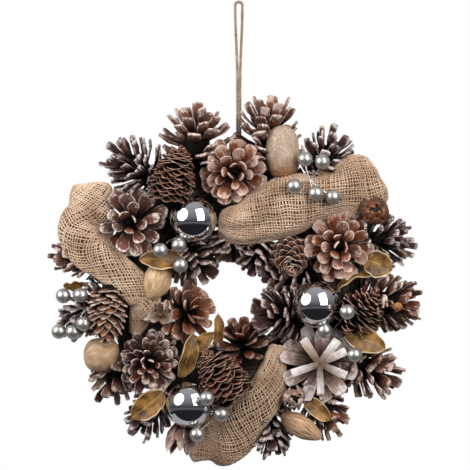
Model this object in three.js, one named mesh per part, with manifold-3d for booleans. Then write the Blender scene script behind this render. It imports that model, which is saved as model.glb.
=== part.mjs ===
// A round Christmas wreath: pine and spruce cones, hessian swags, silver baubles and berries, nuts,
// capsules and leaves on a straw ring with a flat back, which hangs from a loop of jute twine.
// Millimetres, +Z up. The wreath faces -Y. The origin is the top of the inside of the hanging loop.
import * as THREE from "three";
import { ConvexGeometry } from "three/addons/geometries/ConvexGeometry.js";
import { mergeVertices } from "three/addons/utils/BufferGeometryUtils.js";
import Module from "manifold-3d";

const wasm = await Module();
wasm.setup();

// Straw ring: its section is an ellipse cut flat at the back.
const ringCentre = new THREE.Vector3(-3.2, -8, -240.6);
const ringRadius = 83;
const ringHalfWidth = 27;
const ringHalfDepth = 22;
const ringBackDepth = 18;
const ringSteps = 24;
const sectionSteps = 7;

// Twine loop and its tie round the ring
const twineDiameter = 2;
const loopHalfGap = 3;
const strandHalfGap = 1.15;
const loopWaist = -63;
const knotTop = -127;
const knotRadius = 4.2;
const tieWidth = 8;
const tieDepth = 2;

// Trimmings
const baubleRadius = 20;
const berryRadius = 6.4;
const wireRadius = 0.7;
const capRadius = 4;
const capDepth = 3;
const capRise = 2;
const baubleWireLength = 9;
const pickStemRadius = 1.1;
const stalkRadius = 1.6;
const twigRadius = 1;
const leafThickness = 1;

// What lies against a neighbour keeps this gap to it.
const seatGap = 0.3;

const materials = {
  straw: { color: 0x9a8357, roughness: 0.85, metalness: 0 },
  twine: { color: 0xb79c74, roughness: 0.9, metalness: 0 },
  coneBrown: { color: 0x5d4035, roughness: 0.7, metalness: 0 },
  coneTan: { color: 0x9a7767, roughness: 0.7, metalness: 0 },
  coneDark: { color: 0x3c2a26, roughness: 0.75, metalness: 0 },
  coneBleached: { color: 0xb5aaa6, roughness: 0.75, metalness: 0 },
  hessian: { color: 0xb3946a, roughness: 0.95, metalness: 0 },
  silverGlass: { color: 0xd6d8da, roughness: 0.06, metalness: 1 },
  silverSatin: { color: 0xbfbfbd, roughness: 0.4, metalness: 0.9 },
  nutShell: { color: 0x9c8063, roughness: 0.55, metalness: 0 },
  capsuleHusk: { color: 0x7b5437, roughness: 0.75, metalness: 0 },
  driedLeaf: { color: 0x8d6c33, roughness: 0.6, metalness: 0 },
};
for (const name of Object.keys(materials)) {
  materials[name] = new THREE.MeshStandardMaterial({ name, side: THREE.DoubleSide, ...materials[name] });
}

const wreath = new THREE.Group();
wreath.name = "christmas_wreath";
const placed = [];

function vector([x, y, z]) {
  return new THREE.Vector3(x, y, z);
}

// Closed solid of a geometry, with its shared vertices merged and its faces pointing out
function solidOf(geometry) {
  const bare = geometry.clone();
  bare.deleteAttribute("normal");
  bare.deleteAttribute("uv");
  const merged = mergeVertices(bare, 1e-4);
  const corners = merged.index.array;
  const triangles = [];
  for (let i = 0; i < corners.length; i += 3) {
    const [a, b, c] = corners.slice(i, i + 3);
    if (a !== b && b !== c && c !== a) triangles.push(a, b, c);
  }
  const points = merged.attributes.position.array;
  if (signedVolume(points, triangles) < 0) triangles.reverse();
  const mesh = new wasm.Mesh({ numProp: 3, vertProperties: points, triVerts: new Uint32Array(triangles) });
  return new wasm.Manifold(mesh);
}

function signedVolume(points, triangles) {
  let sum = 0;
  const [a, b, c] = [new THREE.Vector3(), new THREE.Vector3(), new THREE.Vector3()];
  for (let i = 0; i < triangles.length; i += 3) {
    a.fromArray(points, 3 * triangles[i]);
    b.fromArray(points, 3 * triangles[i + 1]);
    c.fromArray(points, 3 * triangles[i + 2]);
    sum += a.dot(b.cross(c));
  }
  return sum / 6;
}

function hullOf(points) {
  return solidOf(new ConvexGeometry(points));
}

function unionOf(solids) {
  return wasm.Manifold.union(solids);
}

function largestBody(solid) {
  const bodies = solid.decompose();
  return bodies.reduce((best, body) => (body.volume() > best.volume() ? body : best));
}

function meet(a, b) {
  return [0, 1, 2].every((i) => a.min[i] < b.max[i] && b.min[i] < a.max[i]);
}

// Puts one piece on the wreath: it is cut clear of the pieces already there, then becomes a mesh at its
// own anchor point. space is the room that later pieces leave it.
function place(name, materialName, anchor, solid, space) {
  for (const other of placed) {
    if (meet(solid.boundingBox(), other.box)) solid = solid.subtract(other.space);
  }
  solid = largestBody(solid);
  placed.push({ space, box: space.boundingBox() });
  const { vertProperties, triVerts } = solid.getMesh();
  const geometry = new THREE.BufferGeometry();
  geometry.setAttribute("position", new THREE.BufferAttribute(new Float32Array(vertProperties), 3));
  geometry.setIndex(new THREE.BufferAttribute(new Uint32Array(triVerts), 1));
  geometry.translate(-anchor.x, -anchor.y, -anchor.z);
  geometry.computeVertexNormals();
  const mesh = new THREE.Mesh(geometry, materials[materialName]);
  mesh.name = name;
  mesh.position.copy(anchor);
  wreath.add(mesh);
}

// Skin over a row of sections, each a ring of as many points, closed at both ends
function loft(sections) {
  const across = sections[0].length;
  const points = sections.flat();
  const triangles = [];
  for (let row = 0; row + 1 < sections.length; row++) {
    for (let i = 0; i < across; i++) {
      const [a, b] = [row * across + i, row * across + (i + 1) % across];
      triangles.push(a, b, b + across, a, b + across, a + across);
    }
  }
  for (const [row, turn] of [[0, 1], [sections.length - 1, -1]]) {
    const first = row * across;
    const middle = new THREE.Vector3();
    for (const point of sections[row]) middle.addScaledVector(point, 1 / across);
    points.push(middle);
    for (let i = 0; i < across; i++) {
      const edge = [first + i, first + (i + 1) % across];
      triangles.push(...(turn > 0 ? edge.reverse() : edge), points.length - 1);
    }
  }
  const geometry = new THREE.BufferGeometry();
  geometry.setFromPoints(points);
  geometry.setIndex(triangles);
  return geometry;
}

// A straight rod and a ball. grow moves their faces out, to make the room round them.
function rod(from, to, radius, sides, grow = 0) {
  const along = to.clone().sub(from);
  const length = along.length();
  along.normalize();
  const across = radius + grow / Math.cos(Math.PI / sides);
  const geometry = new THREE.CylinderGeometry(across, across, length + 2 * grow, sides);
  const turn = new THREE.Quaternion().setFromUnitVectors(new THREE.Vector3(0, 1, 0), along);
  const middle = from.clone().add(to).multiplyScalar(0.5);
  return geometry.applyQuaternion(turn).translate(...middle.toArray());
}

function ball(centre, radius, sides, rows, grow = 0) {
  const across = radius + grow / (Math.cos(Math.PI / sides) * Math.cos(Math.PI / rows / 2));
  const geometry = new THREE.SphereGeometry(across, sides, rows);
  return geometry.rotateX(Math.PI / 2).translate(...centre.toArray());
}

// A piece made twice from the same sizes: once as it is, and once grown, as the room round it
function solidAndSpace(make) {
  return [0, seatGap].map((grow) => unionOf(make(grow).map(solidOf)));
}

// Ring section as [distance from the ring's axis, depth], grown by a margin
function ringSection(grow) {
  const flat = Math.asin((ringBackDepth + grow) / (ringHalfDepth + grow));
  const points = [];
  for (let i = 0; i <= sectionSteps; i++) {
    const angle = flat - (i / sectionSteps) * (Math.PI + 2 * flat);
    const across = ringRadius + (ringHalfWidth + grow) * Math.cos(angle);
    points.push(new THREE.Vector2(across, (ringHalfDepth + grow) * Math.sin(angle)));
  }
  return points;
}

function ringSolid(grow) {
  const section = ringSection(grow);
  const geometry = new THREE.LatheGeometry([...section, section[0]], ringSteps);
  geometry.translate(...ringCentre.toArray());
  return solidOf(geometry);
}

// Band of twine round the top of the ring, pressed into the straw until it is flush
function tieBand(outer, inner, width) {
  const outline = new THREE.Shape(ringSection(outer));
  outline.holes.push(new THREE.Path(ringSection(inner).reverse()));
  const geometry = new THREE.ExtrudeGeometry(outline, { depth: width, bevelEnabled: false });
  geometry.translate(0, 0, -width / 2);
  // The section's first axis becomes up, its second stays depth.
  const axes = new THREE.Matrix4().makeBasis(
    new THREE.Vector3(0, 0, 1),
    new THREE.Vector3(0, 1, 0),
    new THREE.Vector3(-1, 0, 0),
  );
  geometry.applyMatrix4(axes);
  geometry.translate(...ringCentre.toArray());
  return solidOf(geometry);
}

function placeTie() {
  const knotCentre = new THREE.Vector3(0, 0, knotTop - knotRadius);
  const knot = [0, seatGap].map((grow) => solidOf(ball(knotCentre, knotRadius, 8, 6, grow)));
  const band = tieBand(-0.1, -tieDepth, tieWidth);
  const groove = tieBand(seatGap, -tieDepth - seatGap, tieWidth + 2 * seatGap);
  place("hang_cord_tie", "twine", knotCentre, unionOf([band, knot[0]]), unionOf([groove, knot[1]]));
}

// Eight-sided sections of a band along a line of points. Each has its own half width, across the
// front, and half depth.
const bandSides = 8;

function bandSections(line, halfSizes, grow) {
  const last = line.length - 1;
  return line.map((middle, i) => {
    const along = line[Math.min(i + 1, last)].clone().sub(line[Math.max(i - 1, 0)]).normalize();
    const side = new THREE.Vector3(0, 1, 0).cross(along).normalize();
    const depth = along.clone().cross(side);
    const [halfWidth, halfDepth] = halfSizes[i];
    const end = ((i === last) - (i === 0)) * grow;
    return Array.from({ length: bandSides }, (_, corner) => {
      const angle = (2 * Math.PI * corner) / bandSides;
      const point = middle.clone().addScaledVector(along, end);
      point.addScaledVector(side, (halfWidth + grow) * Math.cos(angle));
      return point.addScaledVector(depth, (halfDepth + grow) * Math.sin(angle));
    });
  });
}

// One long loop of twine: up the left strand, over the arch and down the right strand
function loopPath() {
  const left = [
    [-strandHalfGap, 0, knotTop - 1],
    [-strandHalfGap, 0, knotTop + 8],
    [-strandHalfGap, 0, knotTop + 24],
    [-strandHalfGap, 0, loopWaist - 16],
    [-strandHalfGap, 0, loopWaist],
    [-strandHalfGap - 0.4, 0, loopWaist + 14],
    [-loopHalfGap + 0.9, 0, loopWaist + 28],
    [-loopHalfGap + 0.2, 0, -18],
    [-loopHalfGap, 0, -8],
  ];
  const archCentre = twineDiameter / 2 - loopHalfGap;
  const arch = [];
  for (let step = 0; step <= 6; step++) {
    const angle = Math.PI * (1 - step / 6);
    arch.push([loopHalfGap * Math.cos(angle), 0, archCentre + loopHalfGap * Math.sin(angle)]);
  }
  const right = left.map(([x, y, z]) => [-x, y, z]).reverse();
  return [...left, ...arch, ...right].map(vector);
}

function twineSolid(grow) {
  const line = loopPath();
  const halfSizes = line.map(() => [twineDiameter / 2, twineDiameter / 2]);
  return solidOf(loft(bandSections(line, halfSizes, grow)));
}

// Pine cones and seed capsules. The core is a round of panels in rows and columns, and every other
// panel is drawn out into a scale: rounded scales swell before their tip. coreRise and tipRise give how
// far up the axis the first and last row lie, and surface is the outline that the tips reach.
const flared = (t) => 0.34 + 0.66 * Math.cos((Math.PI / 2) * t ** 1.5);
const full = (t) => 0.5 + 0.5 * Math.cos((Math.PI / 2) * t ** 2);
const barrel = (t) => Math.sin(Math.PI * (0.32 + 0.57 * t)) ** 0.8;
const bud = (t) => Math.sin(Math.PI * (0.3 + 0.62 * t));
const coneKinds = {
  rosette: { rows: 5, columns: 8, core: 0.3, coreShape: bud, coreRise: [0, 0.76], tipRise: [0.12, 0.96],
    surface: flared, width: 0.62, thickness: 2.6, rounded: true, twist: 0.3 },
  open: { rows: 4, columns: 8, core: 0.32, coreShape: bud, coreRise: [0, 0.8], tipRise: [0.1, 0.97],
    surface: full, width: 0.5, thickness: 2.4, rounded: false, twist: 0.3 },
  star: { rows: 3, columns: 10, core: 0.32, coreShape: bud, coreRise: [0, 0.62], tipRise: [0.14, 0.96],
    surface: flared, width: 0.46, thickness: 2.6, rounded: true, twist: 0.25 },
  closed: { rows: 6, columns: 8, core: 0.86, coreShape: barrel, coreRise: [0.04, 0.92],
    tipRise: [0.2, 0.96], surface: barrel, width: 0.62, thickness: 2, rounded: false, twist: 0.2 },
  capsule: { rows: 1, columns: 12, core: 0.5, coreShape: () => 1, coreRise: [0, 0.5],
    tipRise: [0.95, 0.95], surface: () => 1, width: 0.7, thickness: 1.8, rounded: true, twist: 0 },
};
const { lerp } = THREE.MathUtils;

function polar(across, angle, up) {
  return new THREE.Vector3(across * Math.cos(angle), across * Math.sin(angle), up);
}

function coneSkin(kind, length, radius, spin) {
  const { rows, columns, core, coreShape, coreRise, tipRise, surface } = coneKinds[kind];
  const { width, thickness, rounded, twist } = coneKinds[kind];
  const points = [];
  const triangles = [];
  const panel = (a, b, c, d) => triangles.push(a, b, c, a, c, d);
  const panelAngle = (2 * Math.PI) / columns;
  for (let row = 0; row <= rows; row++) {
    const t = row / rows;
    const up = length * lerp(...coreRise, t);
    for (let column = 0; column < columns; column++) {
      const angle = spin + row * twist + column * panelAngle;
      points.push(polar(core * radius * coreShape(t), angle, up));
    }
  }
  // Four corners across a scale, seen from outside: lower left, lower right, upper right, upper left
  const addCorners = (middle, side, lift, halfWidth) => {
    const corners = [[-1, -1], [1, -1], [1, 1], [-1, 1]].map(([across, up]) =>
      middle.clone().addScaledVector(side, across * halfWidth).addScaledVector(lift, up),
    );
    points.push(...corners);
    return [4, 3, 2, 1].map((back) => points.length - back);
  };
  const wrap = (inner, outer) => {
    for (let i = 0; i < 4; i++) {
      const next = (i + 1) % 4;
      panel(inner[i], inner[next], outer[next], outer[i]);
    }
  };
  for (let row = 0; row < rows; row++) {
    const t = (row + 0.5) / rows;
    for (let column = 0; column < columns; column++) {
      const next = (column + 1) % columns;
      const root = [row * columns + column, row * columns + next];
      root.push(root[1] + columns, root[0] + columns);
      if ((row + column) % 2) {
        panel(...root);
        continue;
      }
      const angle = spin + (row + 0.5) * twist + (column + 0.5) * panelAngle;
      const start = polar(core * radius, angle, length * lerp(...coreRise, t));
      const tip = polar(radius * surface(t), angle, length * lerp(...tipRise, t));
      const along = tip.clone().sub(start);
      const side = polar(1, angle + Math.PI / 2, 0);
      const lift = along.clone().cross(side).setLength(thickness / 2);
      const halfWidth = (width * radius * (1 - 0.35 * t)) / 2;
      let inner = root;
      if (rounded && t < 0.7) {
        inner = addCorners(start.clone().addScaledVector(along, 0.72), side, lift, halfWidth);
        wrap(root, inner);
      }
      const outer = addCorners(tip, side, lift, rounded ? 0.5 * halfWidth : halfWidth);
      wrap(inner, outer);
      panel(...outer);
    }
  }
  const bottom = points.push(new THREE.Vector3(0, 0, length * coreRise[0])) - 1;
  const top = points.push(new THREE.Vector3(0, 0, length * lerp(...coreRise, 1.12))) - 1;
  for (let column = 0; column < columns; column++) {
    const next = (column + 1) % columns;
    triangles.push(bottom, next, column, top, rows * columns + column, rows * columns + next);
  }
  const geometry = new THREE.BufferGeometry().setFromPoints(points);
  geometry.setIndex(triangles);
  return geometry;
}

// Plain eight-sided body that a cone fits in, grown by the seat gap. Its outline is the meeting points
// of lines that touch the cone's own outline at these slopes.
const spaceSides = 8;
const spaceSlopes = [-90, -45, 0, 35, 65, 90].map(THREE.MathUtils.degToRad);

function coneSpace(skin) {
  const position = skin.getAttribute("position");
  const around = Array.from({ length: position.count }, (_, i) => [
    Math.hypot(position.getX(i), position.getY(i)),
    position.getZ(i),
  ]);
  const lines = spaceSlopes.map((slope) => {
    const [c, s] = [Math.cos(slope), Math.sin(slope)];
    return { c, s, reach: Math.max(...around.map(([across, up]) => across * c + up * s)) + seatGap };
  });
  const outline = [new THREE.Vector2(0, -lines[0].reach)];
  for (let i = 1; i < lines.length; i++) {
    const [a, b] = [lines[i - 1], lines[i]];
    const turn = a.c * b.s - a.s * b.c;
    const across = (a.reach * b.s - b.reach * a.s) / turn / Math.cos(Math.PI / spaceSides);
    outline.push(new THREE.Vector2(across, (a.c * b.reach - b.c * a.reach) / turn));
  }
  outline.push(new THREE.Vector2(0, lines.at(-1).reach));
  return new THREE.LatheGeometry(outline, spaceSides).rotateX(Math.PI / 2);
}

function placeCone([name, materialName, kind, base, axis, length, radius, spin = 0, stalkRoot]) {
  const anchor = vector(base);
  const turn = new THREE.Quaternion().setFromUnitVectors(
    new THREE.Vector3(0, 0, 1),
    vector(axis).normalize(),
  );
  const bare = coneSkin(kind, length, radius, spin);
  const [space, skin] = [coneSpace(bare), bare].map((geometry) =>
    solidOf(geometry.applyQuaternion(turn).translate(anchor.x, anchor.y, anchor.z)),
  );
  if (!stalkRoot) {
    place(name, materialName, anchor, skin, space);
    return;
  }
  const stalkTop = anchor.clone().addScaledVector(vector(axis).normalize(), 1);
  const stalk = solidAndSpace((grow) => [rod(vector(stalkRoot), stalkTop, stalkRadius, 5, grow)]);
  place(name, materialName, anchor, unionOf([skin, stalk[0]]), unionOf([space, stalk[1]]));
}

// Cones that face the viewer: name, material, kind, base, axis, length, radius, spin
const facingCones = [
  ["cone_rosette_top", "coneTan", "rosette", [-4, -26, -145], [0, -1, 0], 36, 29, 0.3],
  ["cone_rosette_right", "coneTan", "rosette", [83, -26, -207], [0.05, -1, -0.05], 35, 29, 1.1],
  ["cone_rosette_left", "coneTan", "rosette", [-88, -26, -187], [-0.05, -1, 0], 34, 29, 2],
  ["cone_rosette_lower", "coneBrown", "rosette", [-76, -26, -304], [0, -1, -0.12], 34, 27, 0.7],
  ["cone_bleached", "coneBleached", "star", [68, -26, -308], [0, -1, 0.05], 30, 30, 0.2],
];

const closedCones = [
  ["cone_long_left", "coneBrown", "closed", [-61, -45, -171], [0.28, -0.06, 0.96], 51, 19],
  ["cone_long_lower_left", "coneTan", "closed", [-110, -42, -240], [-0.04, -0.1, -1], 56, 16.5, 0.5],
  ["cone_long_bottom", "coneBrown", "closed", [-3, -44, -336], [-0.55, -0.1, 0.83], 50, 20, 0.9],
  ["cone_narrow_right", "coneBrown", "closed", [90, -38, -278], [0.6, -0.2, 0.75], 45, 21, 1.4],
  ["cone_small", "coneTan", "closed", [44, -28, -208], [0, -0.75, -0.6], 36, 15.5, 0.4],
];

const innerCones = [
  ["cone_inner_1", "coneDark", "open", [-50, -16, -205], [0.62, -0.35, -0.62], 40, 21, 0.2],
  ["cone_inner_2", "coneDark", "open", [-6, -18, -190], [0.05, -0.35, -0.9], 31, 17, 1],
  ["cone_inner_3", "coneDark", "open", [21, -16, -198], [-0.3, -0.4, -0.9], 36, 18, 0.5],
  ["cone_inner_4", "coneDark", "open", [58, -20, -233], [-0.95, -0.3, -0.05], 39, 16, 0.8],
  ["cone_inner_5", "coneBrown", "open", [52, -20, -266], [-0.85, -0.5, 0.05], 41, 24, 1.6],
  ["cone_inner_6", "coneBrown", "star", [4, -20, -300], [-0.05, -0.6, 0.8], 38, 24, 2.2],
  ["cone_inner_7", "coneTan", "star", [-51, -24, -264], [0.6, -0.78, 0.02], 34, 27, 1.2],
];

const outerCones = [
  ["cone_outer_1", "coneDark", "open", [-68, -17, -155], [-0.82, -0.2, 0.58], 52, 27],
  ["cone_outer_2", "coneBrown", "open", [-35, -20, -138], [-0.03, -0.2, 1], 53, 31, 0.6],
  ["cone_outer_3", "coneBrown", "open", [26, -16, -138], [0.05, -0.25, 1], 58, 26, 1.2],
  ["cone_outer_4", "coneDark", "open", [63, -16, -156], [0.42, -0.3, 0.85], 53, 24, 1.9],
  ["cone_outer_5", "coneDark", "open", [99, -15, -206], [1, -0.15, 0.03], 50, 25, 2.4],
  ["cone_outer_6", "coneBrown", "open", [104, -17, -255], [0.9, -0.4, 0], 55, 26, 0.9],
  ["cone_outer_7", "coneBrown", "open", [88, -16, -299], [0.88, -0.3, -0.42], 52, 24, 1.5],
  ["cone_outer_8", "coneBrown", "open", [58, -16, -326], [0.6, -0.25, -0.8], 47, 21, 0.1],
  ["cone_outer_9", "coneDark", "open", [25, -16, -343], [0.1, -0.15, -1], 46, 19, 0.7],
  ["cone_outer_10", "coneDark", "open", [-61, -16, -329], [-0.55, -0.2, -0.8], 50, 21, 1.3],
  ["cone_outer_11", "coneTan", "open", [-101, -18, -292], [-0.22, -0.2, -1], 49, 25, 2.1],
  ["cone_outer_12", "coneDark", "open", [-107, -16, -249], [-0.82, -0.25, -0.6], 51, 19, 2.2],
  ["cone_outer_13", "coneBrown", "open", [-107, -16, -221], [-1, -0.2, 0.04], 55, 19, 0.4],
];

// Silver glass balls, each with its cap and a wire that goes back into the ring
const baubles = [
  ["bauble_upper", [-38.5, -46, -185]],
  ["bauble_right", [65.6, -45, -256.5]],
  ["bauble_lower", [-42, -44, -341.5]],
];

function placeBauble([name, centre]) {
  const middle = vector(centre);
  const toRing = ringPointNear(middle).sub(middle).normalize();
  const along = (distance) => middle.clone().addScaledVector(toRing, distance);
  const [solid, space] = solidAndSpace((grow) => [
    ball(middle, baubleRadius, 12, 8, grow),
    rod(along(baubleRadius - capDepth), along(baubleRadius + capRise), capRadius, 8, grow),
    rod(along(baubleRadius), along(baubleRadius + baubleWireLength), wireRadius, 6, grow),
  ]);
  place(name, "silverGlass", middle, solid, space);
}

// Point of the ring's core circle that is nearest to a point
function ringPointNear(point) {
  const radial = point.clone().sub(ringCentre).setY(0).normalize();
  return ringCentre.clone().addScaledVector(radial, ringRadius);
}

// Picks of silver berries: each berry's wire runs to the pick's root in the ring.
const berryPicks = [
  ["berries_top_right", [60, -52, -152],
    [[55.8, -50, -134], [70.3, -50, -136.5], [46.5, -54, -157], [64.8, -56, -163], [79.2, -54, -166]]],
  ["berries_upper_left", [-58, -38, -213],
    [[-66.2, -56, -211], [-50.5, -54, -206.5], [-49.2, -52, -223.5]]],
  ["berries_left", [-130, -37, -262],
    [[-148.6, -36, -249.5], [-133.7, -42, -249], [-152.4, -32, -279.7], [-140.2, -38, -280],
      [-131, -44, -273]]],
  ["berries_right", [79, -40, -279], [[91, -66, -262.7], [72.4, -52, -278.4], [97.5, -54, -299]]],
  ["berries_bottom", [-18, -46, -352], [[-27, -66, -335], [-14.7, -54, -349], [-35.1, -54, -366]]],
];

function placeBerries([name, root, centres]) {
  const start = vector(root);
  const [solid, space] = solidAndSpace((grow) => [
    rod(ringPointNear(start), start, pickStemRadius, 5, grow),
    ...centres.map(vector).flatMap((middle) => [
      ball(middle, berryRadius, 6, 5, grow),
      rod(start, middle, wireRadius, 3, grow),
    ]),
  ]);
  place(name, "silverSatin", start, solid, space);
}

// Nuts and pods, each on a short stalk: lathed about their own long axis, from base to tip. The
// profile is given as [share of the radius, share of the length].
const nutProfile = [[0, 0], [0.7, 0.03], [1, 0.35], [0.92, 0.68], [0.5, 0.94], [0, 1]];
const podProfile = [[0, 0], [0.5, 0.08], [0.95, 0.36], [0.95, 0.6], [0.55, 0.88], [0, 1]];
const nuts = [
  ["nut_top", nutProfile, [37.5, -32, -149], [-0.03, -0.1, 1], 44, 14.5],
  ["nut_left", nutProfile, [-103, -27, -300], [-1, -0.3, 0.02], 29, 15],
  ["pod_left", podProfile, [-64, -38, -224], [-0.35, -0.2, -0.9], 32, 10.5],
  ["pod_bottom", podProfile, [36, -34, -350], [0.85, -0.2, -0.5], 40, 9.5],
];

function placeNut([name, profile, base, axis, length, radius]) {
  const start = vector(base);
  const along = vector(axis).normalize();
  const turn = new THREE.Quaternion().setFromUnitVectors(new THREE.Vector3(0, 1, 0), along);
  const [solid, space] = solidAndSpace((grow) => {
    const outline = profile.map(
      ([across, up]) => new THREE.Vector2(across * (radius + 1.5 * grow), up * (length + 2 * grow) - grow),
    );
    const body = new THREE.LatheGeometry(outline, 12).applyQuaternion(turn).translate(...base);
    const stalkTop = start.clone().addScaledVector(along, 0.3 * length);
    return [body, rod(stalkTop, ringPointNear(start), stalkRadius, 5, grow)];
  });
  place(name, "nutShell", start, solid, space);
}

// Seed capsules and husks: stout flaps round a short heart, each on a stalk from the ring
const capsules = [
  ["capsule_right", "capsuleHusk", "capsule", [112, -38, -178], [0.2, -1, 0.1], 11, 12, 0, [80, -14, -172]],
  ["capsule_lower", "capsuleHusk", "capsule", [46, -42, -335], [0.1, -1, -0.1], 9, 10, 0.5, [42, -24, -325]],
  ["husks_bottom", "capsuleHusk", "capsule", [-47, -32, -358], [-0.2, -0.3, -1], 26, 13, 0, [-38, -22, -344]],
  ["shells_left", "nutShell", "capsule", [-65, -40, -264], [-0.1, -1, 0.1], 9, 11, 0.3, [-62, -24, -258]],
];

// Leaves: a cupped blade with a pointed tip along its rib, from its stalk end. face is the way its
// upper side looks, cup how far its edges stand proud of the rib, bow how far the rib arches.
const leaves = [
  ["leaf_upper_left", [[-48, -46, -219], [-1, -0.1, 0.02], [0, -1, 0.25], 36, 18, 3, 2]],
  ["leaf_right", [[106, -40, -219], [0.95, 0, -0.3], [-0.1, -1, 0.1], 25, 22, 2.5, 2]],
  ["leaf_edge_on", [[83, -40, -246], [0.9, -0.1, 0.42], [-0.4, -0.25, 0.88], 34, 26, 4, 4]],
  ["leaf_lower_right", [[90, -46, -281], [0.93, 0.05, -0.35], [0, -1, 0.2], 36, 21, 2.5, 3]],
  ["leaf_lower_left", [[-64, -44, -331], [-0.78, 0.05, -0.62], [-0.1, -1, -0.15], 34, 21, 3, 2]],
  ["leaf_bottom", [[77, -38, -342], [-0.98, -0.1, -0.2], [0, -1, -0.2], 24, 19, 2.5, 2]],
  ["leaf_left", [[-134, -26, -238], [-0.95, 0, -0.2], [0, -1, -0.6], 20, 12, 2, 1]],
  ["leaf_sprig",
    [[-37, -33, -296], [0.7, -0.1, 0.7], [0, -1, 0.1], 22, 13, 2, 2],
    [[-50, -37, -318], [0.27, -0.05, 0.96], [0.5, -0.85, 0], 39, 16, 3, 4],
    [[-18, -32, -291], [0.1, -0.1, 1], [0.7, -0.7, 0], 27, 8, 1.5, 2]],
];
const leafStations = [[0, 0.08], [0.22, 0.8], [0.5, 1], [0.78, 0.66], [1, 0.06]];

function leafSections([base, along, face, length, width, cup, bow], grow) {
  const rib = vector(along).normalize();
  const side = vector(face).cross(rib).normalize();
  const up = rib.clone().cross(side);
  return leafStations.map(([u, wide], i) => {
    const end = i === 0 ? -grow : (i === leafStations.length - 1) * grow;
    const arch = bow * Math.sin(Math.PI * u);
    const ribPoint = vector(base).addScaledVector(rib, u * length + end).addScaledVector(up, arch);
    const corner = (v, lift) => {
      const edge = v * (0.5 * wide * width + grow);
      const height = cup * v * v * wide + lift * leafThickness + (lift - 0.5) * 2.5 * grow;
      return ribPoint.clone().addScaledVector(side, edge).addScaledVector(up, height);
    };
    return [corner(-1, 0), corner(0, 0), corner(1, 0), corner(1, 1), corner(0, 1), corner(-1, 1)];
  });
}

function placeLeaf([name, ...blades]) {
  const stalkEnd = vector(blades[0][0]);
  const root = ringPointNear(stalkEnd).lerp(stalkEnd, 0.3);
  const stalkTop = stalkEnd.clone().addScaledVector(vector(blades[0][1]).normalize(), 1.5);
  // A sprig's blades are joined by a twig.
  const [stalks, stalkSpace] = solidAndSpace((grow) => [
    rod(stalkTop, root, twigRadius, 4, grow),
    ...blades.slice(1).map(([base]) => rod(stalkEnd, vector(base), twigRadius, 4, grow)),
  ]);
  const skins = blades.map((blade) => solidOf(loft(leafSections(blade, 0))));
  const rooms = blades.map((blade) => hullOf(leafSections(blade, seatGap).flat()));
  place(name, "driedLeaf", stalkEnd, unionOf([stalks, ...skins]), unionOf([stalkSpace, ...rooms]));
}

// Hessian swags: rounded folds of loose cloth along a centre line of [x, y, z, half width]
const swagFlatness = 0.5;
const swagLeast = 4;
const swags = [
  ["hessian_left", [
    [-125, -26, -153, 12], [-126, -29, -162, 16.5], [-129, -30, -177, 15.5], [-133, -30, -191, 17],
    [-127, -34, -209, 16], [-112, -38, -222, 14.5], [-94, -40, -237, 13.5], [-80, -38, -252, 13],
    [-84, -34, -269, 8.5], [-88, -30, -282, 4],
  ]],
  ["hessian_upper_right", [
    [-17, -32, -182, 6], [-8, -36, -189, 12], [4, -38, -189, 16], [23, -38, -181, 22], [44, -38, -173, 25],
    [65, -38, -167, 21], [86, -36, -160, 19], [106, -30, -151, 20], [119, -24, -155, 13],
  ]],
  ["hessian_bottom", [
    [32, -34, -291, 6], [28, -34, -314, 11], [22, -33, -333, 14], [10, -28, -353, 16], [-3, -24, -370, 18],
    [-20, -22, -380, 14], [-38, -22, -386, 6],
  ]],
];

function placeSwag([name, stations]) {
  const line = stations.map(vector);
  const halfSizes = stations.map(([, , , half]) => [half, Math.max(swagFlatness * half, swagLeast)]);
  const skin = loft(bandSections(line, halfSizes, 0));
  const grown = bandSections(line, halfSizes, 1.2 * seatGap);
  const rooms = grown.slice(1).map((section, i) => hullOf([...grown[i], ...section]));
  place(name, "hessian", line[0], solidOf(skin), unionOf(rooms));
}

placeTie();
place("ring_base", "straw", ringCentre, ringSolid(0), ringSolid(seatGap));
place("hang_cord", "twine", new THREE.Vector3(), twineSolid(0), twineSolid(seatGap));
baubles.forEach(placeBauble);
nuts.forEach(placeNut);
berryPicks.forEach(placeBerries);
leaves.forEach(placeLeaf);
capsules.forEach(placeCone);
facingCones.forEach(placeCone);
closedCones.forEach(placeCone);
innerCones.forEach(placeCone);
swags.forEach(placeSwag);
outerCones.forEach(placeCone);

export default wreath;
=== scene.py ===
import math
import random
from functools import partial

import bmesh
import bpy
from mathutils import Matrix, Vector, noise


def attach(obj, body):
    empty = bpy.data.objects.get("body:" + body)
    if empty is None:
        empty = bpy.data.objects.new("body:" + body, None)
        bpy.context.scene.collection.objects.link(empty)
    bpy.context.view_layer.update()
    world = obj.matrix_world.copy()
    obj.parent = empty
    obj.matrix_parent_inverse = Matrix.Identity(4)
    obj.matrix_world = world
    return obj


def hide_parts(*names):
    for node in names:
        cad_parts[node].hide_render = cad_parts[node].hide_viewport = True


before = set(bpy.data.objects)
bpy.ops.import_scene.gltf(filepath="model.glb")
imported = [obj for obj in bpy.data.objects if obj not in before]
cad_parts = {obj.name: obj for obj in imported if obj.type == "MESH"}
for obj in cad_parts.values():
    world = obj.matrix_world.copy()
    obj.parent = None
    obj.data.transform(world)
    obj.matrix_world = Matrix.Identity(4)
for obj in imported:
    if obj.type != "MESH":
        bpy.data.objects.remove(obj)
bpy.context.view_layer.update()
scene = bpy.context.scene
scene.view_settings.view_transform = "Standard"
millimetre = 0.001
goldenAngle = math.pi * (3 - math.sqrt(5))

# The camera takes the photograph's own frame, from far off
photo = {"pixels": 470, "mmPerPixel": 0.85, "left": -203.0, "top": 1.7, "distance": 3500, "depth": -18,
         "sensor": 36, "clip": 40}


def show(name, data):  # puts an object in the scene
    made = bpy.data.objects.new(name, data)
    bpy.context.collection.objects.link(made)
    return made


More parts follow.
